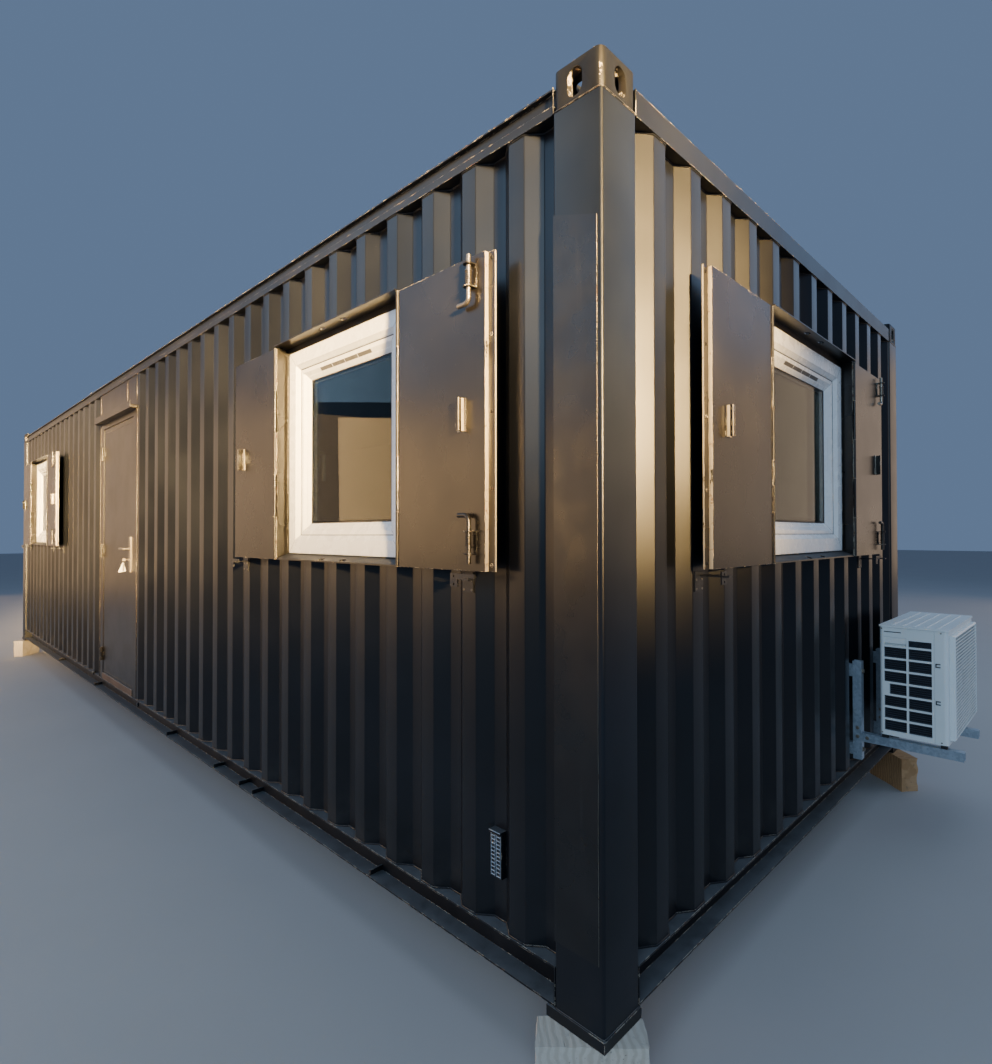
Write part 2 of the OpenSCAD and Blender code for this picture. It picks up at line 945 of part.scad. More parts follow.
// Slots that take the shutter bolts when both leaves are closed
module bolt_slots(z0, z1) {
    slot_clear = 3;
    slot_l = 36;
    for (side = [-1, 1])
        translate([side * (leaf_gap / 2 + bolt_in), hinge_face + bolt_up, z0])
            rotate([0, 0, 90])
                obround(slot_l, 2 * (bolt_r + slot_clear), z1 - z0);
}

module window_sills() color(paint) {
    for (window = WINDOWS)
        on_wall(window[0])
            translate([window[1], 0, window_z])
                difference() {
                    translate([window[2] / 2 - surround_t, 0, 0])
                        rotate([90, 0, -90])
                            linear_extrude(window[2] - 2 * surround_t)
                                polygon([
                                    [surround_out, 0], [-lining_face, 0],
                                    [-lining_face, sill_h], [0, sill_h],
                                    [surround_out, sill_lip]
                                ]);
                    bolt_slots(-cut, sill_h + cut);
                }
}

module window_jambs() color(paint) {
    for (window = WINDOWS)
        on_wall(window[0])
            for (side = [-1, 1])
                translate([window[1], 0, 0])
                    scale([side, 1, 1])
                        union() {
                            block(
                                [window[2] / 2 - surround_t, -surround_out, window_z],
                                [window[2] / 2, lining_face, window_top]
                            );
                            block(
                                [
                                    window[2] / 2 - surround_t - packing_w,
                                    packing_set - frame_out,
                                    window_z + sill_h
                                ],
                                [
                                    window[2] / 2 - surround_t + cut,
                                    lining_face,
                                    window_top - packing_h
                                ]
                            );
                        }
}

// A rectangular frame of four mitred members, w wide and h high outside. Its profile
// holds [distance in from the outer edge, depth], and starts on the front face.
module mitred_frame(w, h, profile) {
    n = len(profile);
    points = [
        for (corner = [[-1, 0], [1, 0], [1, 1], [-1, 1]], p = profile)
            [corner[0] * (w / 2 - p[0]), p[1], corner[1] == 0 ? p[0] : h - p[0]]
    ];
    faces = [
        for (i = [0 : 3], j = [0 : n - 1])
            let (next_i = (i + 1) % 4, next_j = (j + 1) % n)
                [i * n + j, i * n + next_j, next_i * n + next_j, next_i * n + j]
    ];
    polyhedron(points = points, faces = faces);
}

function frame_w(window) = window[2] - 2 * (surround_t + packing_w + frame_gap);
function frame_h() = window_h - sill_h - packing_h - frame_gap;

// Depths of the sash behind the post faces
sash_front = sash_in - frame_out;
sash_back_bead = sash_front + sash_slope_d;
sash_back = frame_d - frame_out + sash_inside;

module window_frames() color(white) {
    edge = 2;
    for (window = WINDOWS)
        on_wall(window[0])
            translate([window[1], -frame_out, window_z + sill_h])
                mitred_frame(frame_w(window), frame_h(), [
                    [edge, 0], [frame_flat, 0], [frame_flat + edge, edge],
                    [frame_face - edge, frame_slope_d], [frame_face, frame_slope_d + edge],
                    [frame_face, frame_d], [0, frame_d], [0, edge]
                ]);
}

module window_sashes() color(white) {
    edge = 2;
    bead = 0.45 * (sash_face - sash_flat);
    for (window = WINDOWS) {
        w = frame_w(window) - 2 * frame_face;
        h = frame_h() - 2 * frame_face;
        on_wall(window[0])
            translate([window[1], 0, window_z + sill_h + frame_face])
                union() {
                    mitred_frame(w, h, [
                        [edge, sash_front], [sash_flat, sash_front + edge],
                        [sash_face - bead - edge, sash_front + 0.55 * sash_slope_d],
                        [sash_face - bead, sash_front + 0.55 * sash_slope_d],
                        [sash_face - edge, sash_back_bead - edge], [sash_face, sash_back_bead],
                        [sash_face, sash_back], [0, sash_back], [0, sash_front + edge]
                    ]);
                    translate([(sash_face - w) / 2, sash_back, h / 2])
                        sash_handle();
                }
    }
}

// The lever inside the room hangs down from its back plate on the sash
module sash_handle() {
    plate_w = 28;
    plate_h = 66;
    lever_r = 8;
    bend_r = 12;
    lever_l = 108;
    neck = 38;
    union() {
        translate([0, 0, -plate_h / 2])
            linear_extrude(plate_h)
                polygon([
                    [-plate_w / 2, -cut], [plate_w / 2, -cut], [plate_w / 2, 6],
                    [plate_w / 2 - 4, 10], [4 - plate_w / 2, 10], [-plate_w / 2, 6]
                ]);
        rotate([-90, 0, 0])
            cylinder(r = lever_r, h = neck - bend_r, $fn = 20);
        translate([0, neck - bend_r, -bend_r])
            rotate([90, 0, 90])
                rotate_extrude(angle = 90, $fn = 20)
                    translate([bend_r, 0])
                        circle(r = lever_r);
        translate([0, neck, -bend_r - lever_l])
            cylinder(r = lever_r, h = lever_l, $fn = 20);
    }
}

module window_panes() color([0.55, 0.65, 0.7, 0.35]) {
    margin = frame_face + sash_face;
    pane_y = sash_back_bead + 1;
    for (window = WINDOWS)
        on_wall(window[0])
            translate([window[1], 0, window_z + sill_h])
                block(
                    [-frame_w(window) / 2 + margin, pane_y, margin],
                    [frame_w(window) / 2 - margin, pane_y + pane_t, frame_h() - margin]
                );
}

// Shutters. A leaf is drawn folded back, with its hinge line at x = 0 and y = 0.
// It runs to +x, its face is at y = 0 and its back faces the wall.

function leaf_w(window_w) = window_w / 2 + hinge_side - leaf_edge - leaf_gap / 2;

// Plate that stands on a leaf and has a round nose about the bolt's axis
module bolt_guide(r, thick) {
    linear_extrude(thick)
        union() {
            translate([-r, -bolt_up])
                square([2 * r, bolt_up]);
            translate([0, -bolt_up])
                circle(r = r);
        }
}

module shutter_bolt(w, tip_z, up) {
    // up is 1 for the bolt at the top of the leaf and -1 for the one at its foot
    plate_t = 4;
    plate_w = 36;
    guide_r = 16;
    guide_z = 26;
    x = leaf_edge + w - bolt_in;
    translate([x, 0, tip_z])
        scale([1, 1, -up])
            union() {
                block([-plate_w / 2, -plate_t, guide_z], [plate_w / 2, 0, guide_z + guide_span]);
                for (z = [guide_z, guide_z + guide_span - plate_t])
                    translate([0, 0, z])
                        bolt_guide(guide_r, plate_t);
                translate([0, -bolt_up, 0])
                    cylinder(r = bolt_r, h = bolt_l - bolt_bend, $fn = 20);
                translate([-bolt_bend, -bolt_up, bolt_l - bolt_bend])
                    rotate([90, 0, 0])
                        rotate_extrude(angle = 90, $fn = 20)
                            translate([bolt_bend, 0])
                                circle(r = bolt_r);
                translate([-bolt_bend, -bolt_up, bolt_l])
                    rotate([0, -90, 0])
                        cylinder(r = bolt_r, h = bolt_arm, $fn = 20);
            }
}

module pull_handle(w) {
    x = leaf_edge + w - pull_in;
    z = (leaf_bottom + leaf_top) / 2;
    grip_t = 5;
    grip_out = 24;
    translate([x, 0, z - pull_h / 2])
        union() {
            block([-18, -3, 0], [18, 0, pull_h]);
            block([6, -grip_out, 0], [6 + grip_t, 0, pull_h]);
            block([-4, -grip_out, 0], [6 + grip_t, -grip_out + grip_t, pull_h]);
        }
}

module shutter_leaf(window_w) {
    w = leaf_w(window_w);
    // The foot bolt is drawn back clear of the sloping sill
    foot_tip = window_z + sill_h - 4;
    union() {
        block([leaf_edge, 0, leaf_bottom], [leaf_edge + w - leaf_strip_w, leaf_t, leaf_top]);
        block(
            [leaf_edge + w - leaf_strip_w - cut, leaf_t - leaf_strip_t, leaf_bottom],
            [leaf_edge + w, leaf_t, leaf_top]
        );
        knuckles(leaf_bottom, leaf_top, leaf_knuckles, 1, hinge_r);
        knuckle_strips(
            leaf_bottom, leaf_top, leaf_knuckles, 1,
            0, leaf_edge + 1, 0, 3
        );
        shutter_bolt(w, leaf_top - 2, 1);
        shutter_bolt(w, foot_tip, -1);
        pull_handle(w);
    }
}

module shutter(window, side) {
    on_wall(window[0])
        translate([window[1] + side * (window[2] / 2 + hinge_side), hinge_face, 0])
            scale([side, 1, 1])
                shutter_leaf(window[2]);
}

module near_shutter_right() color(paint) shutter(WINDOWS[0], 1);
module near_shutter_left() color(paint) shutter(WINDOWS[0], -1);
module end_shutter_right() color(paint) shutter(WINDOWS[1], 1);
module end_shutter_left() color(paint) shutter(WINDOWS[1], -1);
module far_shutter_right() color(paint) shutter(WINDOWS[2], 1);
module far_shutter_left() color(paint) shutter(WINDOWS[2], -1);

// Holdback catches on the rib nearest below each open leaf's foot bolt

module shutter_catches() color(paint) {
    for (window = WINDOWS, side = [-1, 1]) {
        bolt_s = window[1]
            + side * (window[2] / 2 + hinge_side + leaf_edge + leaf_w(window[2]) - bolt_in);
        long = window[0] == FRONT;
        rib_s = long ? cabin_l / 2 - long_first : end_first - cabin_w / 2;
        s = nearest_rib(bolt_s, rib_s, long ? long_pitch : end_pitch);
        on_wall(window[0])
            translate([s, 0, leaf_bottom - leaf_gap - catch_clear])
                scale([side, 1, 1])
                    shutter_catch(side * (bolt_s - s));
    }
}

// Extra room between a catch and the foot of its leaf
catch_clear = 4;

// The arm from the rib carries a tab that hangs before the leaf, and a shelf with a
// hole for the foot bolt, which lies at bolt_x from the rib's middle.
module shutter_catch(bolt_x) {
    steel = 5;
    base_w = 50;
    base_h = 64;
    tab_w = 34;
    tab_h = 40;
    shelf_w = 28;
    shelf_h = 17;
    hole_r = bolt_r + 2;
    tab_x = max(-22, min(22, bolt_x - 67));
    tab_y = hinge_face - steel;
    bolt_y = hinge_face - bolt_up;
    left = min(tab_x - tab_w / 2, bolt_x - shelf_w / 2);
    right = max(tab_x + tab_w / 2, bolt_x + shelf_w / 2);
    difference() {
        union() {
            block([-base_w / 2, sheet_set - steel, -base_h], [base_w / 2, sheet_set, 0]);
            block(
                [tab_x - tab_w / 2, tab_y - steel, -shelf_h],
                [tab_x + tab_w / 2, sheet_set - steel + cut, steel - shelf_h]
            );
            block([left, tab_y - steel, -shelf_h], [right, tab_y, 0]);
            block([tab_x - tab_w / 2, tab_y - steel, -tab_h], [tab_x + tab_w / 2, tab_y, 0]);
            block(
                [bolt_x - shelf_w / 2, bolt_y - hole_r - steel, -shelf_h],
                [bolt_x + shelf_w / 2, tab_y, steel - shelf_h]
            );
        }
        translate([bolt_x, bolt_y, -shelf_h - cut])
            cylinder(r = hole_r, h = steel + 2 * cut, $fn = 20);
        for (z = [-tab_h + 8, -8])
            translate([tab_x, tab_y + cut, z])
                rotate([90, 0, 0])
                    cylinder(r = 4, h = steel + 2 * cut, $fn = 16);
    }
}

module wall_vent() color(worn_paint) {
    vent_w = 50;
    vent_h = 142;
    vent_out = 20;
    vent_z = 276;
    vent_lip = 3;
    slats = 11;
    gap = vent_h / (slats + 1);
    // The vent sits in the groove beside the first rib
    groove_s = cabin_l / 2 - long_first - long_pitch / 2;
    on_wall(FRONT)
        translate([groove_s, sheet_set + sheet_d, vent_z])
            union() {
                difference() {
                    block([-vent_w / 2, -vent_out, 0], [vent_w / 2, 0, vent_h]);
                    for (i = [1 : slats])
                        translate([0, -vent_out, i * gap])
                            rotate([35, 0, 0])
                                block([-vent_w / 2 + 6, -7, -2], [vent_w / 2 - 6, 7, 2]);
                }
                // Drip lip over the vent
                block([-vent_w / 2, -vent_out - 6, vent_h - vent_lip], [vent_w / 2, 0, vent_h]);
                block(
                    [-vent_w / 2, -vent_out - 6, vent_h - 3 * vent_lip],
                    [vent_w / 2, -vent_out - 4, vent_h]
                );
            }
}

// Cooling unit

// Air openings on the unit's side are in two columns. The one in the top corner by
// the wall is a finger grip, its neighbour is lower and one in the column is narrow.
unit_rows = 8;
grip_row = unit_rows - 1;
narrow_row = 3;

module unit_opening(row, column, w, h, depth) {
    top = row == grip_row && column == 0 ? 0.6 * h : h;
    wide = row == narrow_row && column == 1 ? 0.76 * w : w;
    if (row == grip_row && column == 1) {
        cube([depth / 4, wide, 0.8 * h]);
        cube([depth, wide, 0.2 * h]);
    } else {
        cube([depth, wide, top]);
    }
}

module unit_casing() color(white) {
    side_margin = 22;
    row_gap = 9;
    opening_d = 12;
    strip = 66;
    opening_w = (unit_d - side_margin - strip - row_gap) / 2;
    opening_h = (unit_h - 52 - unit_rows * row_gap) / unit_rows;
    on_wall(NEAR_END)
        translate([unit_s, -unit_off - unit_d, unit_z])
            difference() {
                translate([unit_w / 2, unit_d / 2, 0])
                    rounded_bar(unit_w, unit_d, unit_h, unit_r);
                for (row = [0 : unit_rows - 1], column = [0, 1])
                    translate([
                        -cut,
                        strip + column * (opening_w + row_gap),
                        24 + row * (opening_h + row_gap)
                    ])
                        unit_opening(row, column, opening_w, opening_h, opening_d + cut);
                // Joint between the side panel and the front panel
                translate([-cut, strip - 12, -cut])
                    cube([2 + cut, 3, unit_h + 2 * cut]);
            }
}

module unit_lid() color(white) {
    lid_t = 8;
    lid_lip = 4;
    rib_end = 45;
    rib_w = 10;
    rib_h = 3;
    on_wall(NEAR_END)
        translate([unit_s + unit_w / 2, -unit_off - unit_d / 2, unit_z + unit_h])
            union() {
                rounded_bar(unit_w + 2 * lid_lip, unit_d + 2 * lid_lip, lid_t, unit_r);
                for (i = [-2 : 2])
                    translate([rib_end - unit_w / 2, i * unit_d / 6 - rib_w / 2, lid_t - cut])
                        cube([unit_w - 2 * rib_end, rib_w, rib_h + cut]);
            }
}

module unit_grille() color(white) {
    frame = 34;
    wall = 10;
    slat_t = 5;
    chamfer = 6;
    y1 = -unit_off - unit_d;
    y0 = y1 - grille_out;
    w = unit_w - 2 * frame;
    h = unit_h - 40;
    pitch = (h - 2 * wall) / (grille_slats + 1);
    on_wall(NEAR_END)
        translate([unit_s + unit_w / 2, 0, unit_z + 20])
            union() {
                mitred_frame(w, h, [
                    [chamfer, y0], [wall, y0], [wall, y1], [0, y1], [0, y0 + chamfer]
                ]);
                for (i = [1 : grille_slats])
                    block(
                        [-w / 2 + wall - cut, y0 + 2, wall + i * pitch - slat_t / 2],
                        [w / 2 - wall + cut, y1, wall + i * pitch + slat_t / 2]
                    );
            }
}

module unit_pads() color([0.06, 0.06, 0.06]) {
    pad_w = 26;
    pad_in = 8;
    on_wall(NEAR_END)
        for (s = [arm_low, arm_high], y = [-unit_off - unit_d + pad_in, -unit_off - pad_in - pad_w])
            translate([s - pad_w / 2, y, arm_z])
                cube([pad_w, pad_w, pad_h]);
}

// Outline of a lipped channel, centred on x with its back on y = 0 and open at -y
module channel_outline() {
    wall = 3;
    lip = 7;
    half = arm_w / 2;
    union() {
        translate([-half, -wall])
            square([arm_w, wall]);
        for (side = [-1, 1])
            scale([side, 1]) {
                translate([half - wall, -arm_w])
                    square([wall, arm_w]);
                translate([half - wall - lip, -arm_w])
                    square([wall + lip, wall]);
            }
    }
}

module unit_bracket() color(zinc) {
    leg_low = 172;
    leg_high = 668;
    overlap = 2;
    spacer_w = 34;
    spacer_h = 60;
    leg_face = sheet_set - arm_w;
    groove = sheet_set + sheet_d;
    on_wall(NEAR_END)
        for (s = [arm_low, arm_high])
            translate([s, 0, 0])
                union() {
                    // The leg's open side faces the wall
                    translate([0, leg_face, leg_low])
                        linear_extrude(leg_high - leg_low)
                            mirror([0, 1])
                                channel_outline();
                    // Spacers carry each leg on the bottom of its groove
                    for (z = [leg_low + 20, leg_high - 20 - spacer_h])
                        block(
                            [-spacer_w / 2, sheet_set - overlap, z],
                            [spacer_w / 2, groove, z + spacer_h]
                        );
                    // The arm's open side faces down
                    translate([0, leg_face + overlap, arm_z])
                        rotate([90, 0, 0])
                            linear_extrude(arm_reach + leg_face + overlap)
                                channel_outline();
                }
}

// Timber

module timber_block(inset, turn) {
    translate([-inset[0], -inset[1], 0])
        rotate([0, 0, turn])
            translate([0, 0, block_h / 2])
                cube([block_l, block_w, block_h], center = true);
}

module timber_blocks() color(timber) {
    translate([-mid_x, -mid_y, 0])
        for (side_x = [-1, 1]) {
            scale([side_x, -1, 1])
                translate([cabin_l / 2, cabin_w / 2, 0])
                    timber_block(front_block_in, -block_turn);
            scale([side_x, 1, 1])
                translate([cabin_l / 2, cabin_w / 2, 0])
                    timber_block(rear_block_in, -block_turn);
        }
}

corner_posts();
corner_fittings();
foot_plates();
side_bottom_rails();
end_bottom_rails();
side_top_rails();
end_top_rails();
floor_bearers();
floor_deck();
roof_sheet();
front_wall_near();
front_wall_far();
over_door_panel();
rear_wall();
window_end_wall();
plain_end_wall();
wall_lining();
ceiling();
door_jambs();
door_head();
door_gutter();
threshold();
window_hoods();
window_sills();
window_jambs();
window_frames();
window_sashes();
window_panes();
fixed_hinges();
shutter_catches();
wall_vent();
unit_casing();
unit_lid();
unit_grille();
unit_pads();
unit_bracket();
timber_blocks();
door_leaf();
door_handle();
near_shutter_right();
near_shutter_left();
end_shutter_right();
end_shutter_left();
far_shutter_right();
far_shutter_left();
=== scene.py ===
"""Looks of the shipping container cabin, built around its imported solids."""

import math
import random

import bmesh
import bpy
from mathutils import Matrix, Vector, noise


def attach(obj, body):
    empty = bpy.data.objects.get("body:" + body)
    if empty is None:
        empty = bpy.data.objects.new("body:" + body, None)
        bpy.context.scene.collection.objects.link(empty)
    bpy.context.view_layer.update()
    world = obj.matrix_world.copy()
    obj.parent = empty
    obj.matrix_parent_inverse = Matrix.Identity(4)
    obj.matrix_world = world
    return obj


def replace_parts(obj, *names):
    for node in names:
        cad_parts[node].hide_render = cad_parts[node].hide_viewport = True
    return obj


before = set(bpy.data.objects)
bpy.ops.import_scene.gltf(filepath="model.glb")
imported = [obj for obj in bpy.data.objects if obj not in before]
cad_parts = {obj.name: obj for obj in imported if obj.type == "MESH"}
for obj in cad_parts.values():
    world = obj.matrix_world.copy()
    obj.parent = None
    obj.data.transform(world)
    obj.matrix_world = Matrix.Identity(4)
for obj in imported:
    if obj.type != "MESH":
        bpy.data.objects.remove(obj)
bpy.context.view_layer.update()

# Measures of the cabin, in millimetres
CABIN_L = 9144.0
CABIN_W = 3048.0
CABIN_H = 2591.0
BLOCK_L = 295.0
BLOCK_W = 104.0
BLOCK_H = 190.0
BLOCK_TURN = math.radians(41)
MID_X = 165.7826
MID_Y = -37.5
FRONT, NEAR_END, REAR, FAR_END = range(4)

POST_L = 168.0
POST_W = 160.0
POST_WALL = 6.0
FOOT_T = 30.0
FITTING_H = 110.0
FITTING_WALL = 24.0
SLOT_Z = 52.0
POST_TOP = CABIN_H - FITTING_H
SLOT_X = -POST_L / 2 - 5.0
SLOT_Y = -POST_W / 2 - 5.0
RAIL_SET = 2.0
SHEET_SET = 8.0
SHEET_D = 35.0
SHEET_T = 2.0
RIB_W = 64.0
RIB_SLOPE = 48.0
FOLD_R = 8.0
LONG_PITCH = 213.4
END_PITCH = 218.0
LONG_RIB = CABIN_L / 2 - 317.5
END_RIB = 294.0 - CABIN_W / 2
WALL_BOTTOM = 140.0
WALL_TOP = 2480.0
RAIL_TOP = 2554.0

WINDOW_Z = 1208.0
WINDOW_H = 944.0
WINDOW_TOP = WINDOW_Z + WINDOW_H
SURROUND_T = 4.0
SURROUND_OUT = 57.0
SILL_H = 28.0
PACKING_W = 22.0
PACKING_H = 26.0
FRAME_GAP = 3.0
FRAME_FACE = 79.0
SASH_FACE = 51.0
# Faces of the white profiles: distance in from the outer edge, and depth
FRAME_LINE = ((2.0, -13.0), (60.0, -13.0), (62.0, -11.0), (77.0, -1.0), (79.0, 1.0))
SASH_LINE = ((2.0, 3.0), (18.0, 5.0), (34.15, 16.2), (36.15, 16.2), (49.0, 25.0), (51.0, 27.0))
PANE_Y = 28.0
PANE_T = 24.0
GLASS_T = 4.0
# Name, wall, middle along the wall and width of each window's surround
WINDOWS = (
    ("near", FRONT, CABIN_L / 2 - 1292.0, 930.0),
    ("end", NEAR_END, 1444.0 - CABIN_W / 2, 980.0),
    ("far", FRONT, 1494.0 - CABIN_L / 2, 980.0),
)
LEAF_T = 20.0
LEAF_FACE = -(SURROUND_OUT + 5.0)
LEAF_GAP = 5.0
STRIP_W = 28.0
STRIP_T = 6.0
HINGE_SIDE = 7.0
LEAF_EDGE = 8.0
LEAF_LOW = WINDOW_Z + 1.0
LEAF_HIGH = WINDOW_TOP - LEAF_GAP
LEAF_STEP = (LEAF_HIGH - LEAF_LOW) / 5
BOLT_IN = 80.0
BOLT_UP = 18.0
BOLT_R = 7.0
BOLT_L = 143.0
BOLT_BEND = 18.0
BOLT_ARM = 28.0
PULL_IN = 130.0
PULL_H = 100.0
PULL_Z = (LEAF_LOW + LEAF_HIGH) / 2 - PULL_H / 2
PULL_HALF = 18.0
PULL_T = 3.0
PULL_OUT = 24.0
PULL_EDGE = 11.0
CATCH_Z = LEAF_LOW - 9.0

DOOR_S = CABIN_L / 2 - 4704.0
DOOR_W = 846.0
DOOR_H = 1992.0
DOOR_T = 44.0
DOOR_Z = 192.0
DOOR_SET = 12.0
JAMB_W = 100.0
FRAME_RIGHT = DOOR_S + DOOR_W / 2 + 8.0
FRAME_LEFT = DOOR_S - DOOR_W / 2 - 5.0
DOOR_HEAD_TOP = 2234.0
GUTTER_H = 50.0
HANDLE_IN = 62.0
LEVER_Z = 1214.0

UNIT_W = 705.0
UNIT_D = 289.0
UNIT_H = 530.0
UNIT_BACK = -116.0
UNIT_FRONT = UNIT_BACK - UNIT_D
UNIT_S = CABIN_W / 2 - 218.0 - UNIT_W
UNIT_Z = 326.0
UNIT_STRIP = 66.0
UNIT_ROWS = 8
UNIT_GAP = 9.0
ARM_Z = 308.0
ARM_W = 41.0
ARMS = (2147.0 - CABIN_W / 2, 2583.0 - CABIN_W / 2)


# Takes the cabin's millimetres, from its middle and its foot plates, to the frame's metres
WHOLE = Matrix.Scale(0.001, 4) @ Matrix.Translation((-MID_X, -MID_Y, BLOCK_H))


def linked(name, data):
    """A new object in the scene."""
    obj = bpy.data.objects.new(name, data)
    bpy.context.scene.collection.objects.link(obj)
    return obj


def wall_space(side):
    """The space of a wall: x to the right seen from outside, y inwards from the post
    faces, z up from the foot plates."""
    reach = CABIN_W / 2 if side % 2 == 0 else CABIN_L / 2
    turn = Matrix.Rotation(math.radians(90 * side), 4, "Z")
    return WHOLE @ turn @ Matrix.Translation((0, -reach, 0))


def ribs(side):
    """The middle of one rib and the pitch of the ribs on a wall."""
    return (LONG_RIB, LONG_PITCH) if side % 2 == 0 else (END_RIB, END_PITCH)


def leaf_space(wall, middle, width, side):
    """The space of an open shutter leaf: x from its hinge line to its free edge, y = 0 on
    its face, mirrored where side is -1."""
    hinge = middle + side * (width / 2 + HINGE_SIDE)
    return (
        wall_space(wall)
        @ Matrix.Translation((hinge, LEAF_FACE, 0))
        @ Matrix.Diagonal((side, 1, 1, 1))
    )


# Camera at the photograph's place


def make_camera():
    """The camera that the photograph's edges and sizes fit."""
    data = bpy.data.cameras.new("photo_camera")
    data.sensor_fit = "HORIZONTAL"
    data.sensor_width = 36.0
    wide, high = 992, 1064
    focal, centre_x, centre_y = 611.1, 539.6, 526.7
    data.lens = focal * data.sensor_width / wide
    data.shift_x = (wide / 2 - centre_x) / wide
    data.shift_y = (centre_y - high / 2) / wide
    data.clip_start = 0.02
    camera = linked("photo_camera", data)
    yaw, pitch, roll = (math.radians(angle) for angle in (42.70, 0.68, 0.11))
    camera.location = (5.3482, -2.7455, 1.509)
    level = Matrix.Rotation(yaw, 4, "Z") @ Matrix.Rotation(math.pi / 2 + pitch, 4, "X")
    camera.rotation_euler = (level @ Matrix.Rotation(-roll, 4, "Z")).to_euler()
    bpy.context.scene.camera = camera


# Procedural materials


class Shader:
    """A procedural material: a base colour with others laid over it, node by node."""

    def __init__(self, name, base):
        self.colour = base
        self.material = bpy.data.materials.new(name)
        self.material.use_nodes = True
        self.tree = self.material.node_tree
        self.surface = self.tree.nodes["Principled BSDF"]
        self.place = self.node("TexCoord").outputs["Object"]

    def node(self, kind, inputs=None, **settings):
        """A new node with its settings, and a number, colour or link for its inputs."""
        made = self.tree.nodes.new("ShaderNode" + kind)
        for key, value in settings.items():
            setattr(made, key, value)
        for key, value in (inputs or {}).items():
            self.feed(made.inputs[key], value)
        return made

    def feed(self, socket, value):
        if isinstance(value, bpy.types.NodeSocket):
            self.tree.links.new(value, socket)
        else:
            socket.default_value = (*value, 1.0) if socket.type == "RGBA" else value

    def stretched(self, scale=(1, 1, 1), turn=(0, 0, 0), place=None):
        inputs = {"Vector": place or self.place, "Scale": scale, "Rotation": turn}
        return self.node("Mapping", inputs).outputs["Vector"]

    def noise(self, scale, detail=2.0, rough=0.5, place=None):
        inputs = {
            "Vector": place or self.place, "Scale": scale, "Detail": detail, "Roughness": rough
        }
        return self.node("TexNoise", inputs).outputs["Fac"]

    def streaks(self, stretch, detail, rough):
        """Noise drawn out along the axis with the smallest stretch."""
        return self.noise(1.0, detail, rough, self.stretched(stretch))

    def cells(self, scale, output="Distance"):
        return self.node("TexVoronoi", {"Vector": self.place, "Scale": scale}).outputs[output]

    def remap(self, value, low, high, to_low=0.0, to_high=1.0):
        inputs = {
            "Value": value, "From Min": low, "From Max": high, "To Min": to_low, "To Max": to_high
        }
        made = self.node("MapRange", inputs, interpolation_type="SMOOTHSTEP")
        return made.outputs["Result"]

    def math(self, operation, first, second):
        return self.node("Math", {0: first, 1: second}, operation=operation).outputs[0]

    def times(self, first, second):
        return self.math("MULTIPLY", first, second)

    def plus(self, first, second):
        return self.math("ADD", first, second)

    def less(self, first, second):
        return self.math("SUBTRACT", first, second)

    def mix(self, factor, first, second):
        inputs = {"Factor": factor, 6: first, 7: second}
        return self.node("Mix", inputs, data_type="RGBA").outputs[2]

    def over(self, mask, colour):
        """Lays a colour over the colour so far, where the mask is 1."""
        self.colour = self.mix(mask, self.colour, colour)

    def axis(self, vector, name):
        return self.node("SeparateXYZ", {0: vector}).outputs[name]

    def normal(self):
        return self.node("NewGeometry").outputs["Normal"]

    def rounded(self, radius):
        return self.node("Bevel", {"Radius": radius}, samples=4).outputs["Normal"]

    def edges(self, radius):
        """1 on outer and inner edges, 0 on open faces."""
        inputs = {0: self.rounded(radius), 1: self.normal()}
        same = self.node("VectorMath", inputs, operation="DOT_PRODUCT").outputs["Value"]
        return self.remap(self.less(1.0, same), 0.02, 0.12)

    def bump(self, height, distance, strength=1.0, normal=None):
        inputs = {"Height": height, "Distance": distance, "Strength": strength}
        if normal is not None:
            inputs["Normal"] = normal
        return self.node("Bump", inputs).outputs["Normal"]

    def finish(self, rough, normal=None, **constants):
        """Ends the material. Its constants go straight onto the shader's sockets."""
        self.feed(self.surface.inputs["Base Color"], self.colour)
        self.feed(self.surface.inputs["Roughness"], rough)
        if normal is not None:
            self.feed(self.surface.inputs["Normal"], normal)
        for key, value in constants.items():
            self.surface.inputs[key.replace("_", " ")].default_value = value
        return self.material


def scaled(colour, factor):
    return tuple(channel * factor for channel in colour)


BARE = (0.50, 0.44, 0.34)
RUST = (0.20, 0.085, 0.04)


def clouded(name, base, scale):
    """A shader with large soft patches a little lighter than its base."""
    s = Shader(name, base)
    s.over(s.remap(s.noise(scale, 4.0, 0.6), 0.35, 0.7), tuple(c * 1.9 + 0.002 for c in base))
    return s


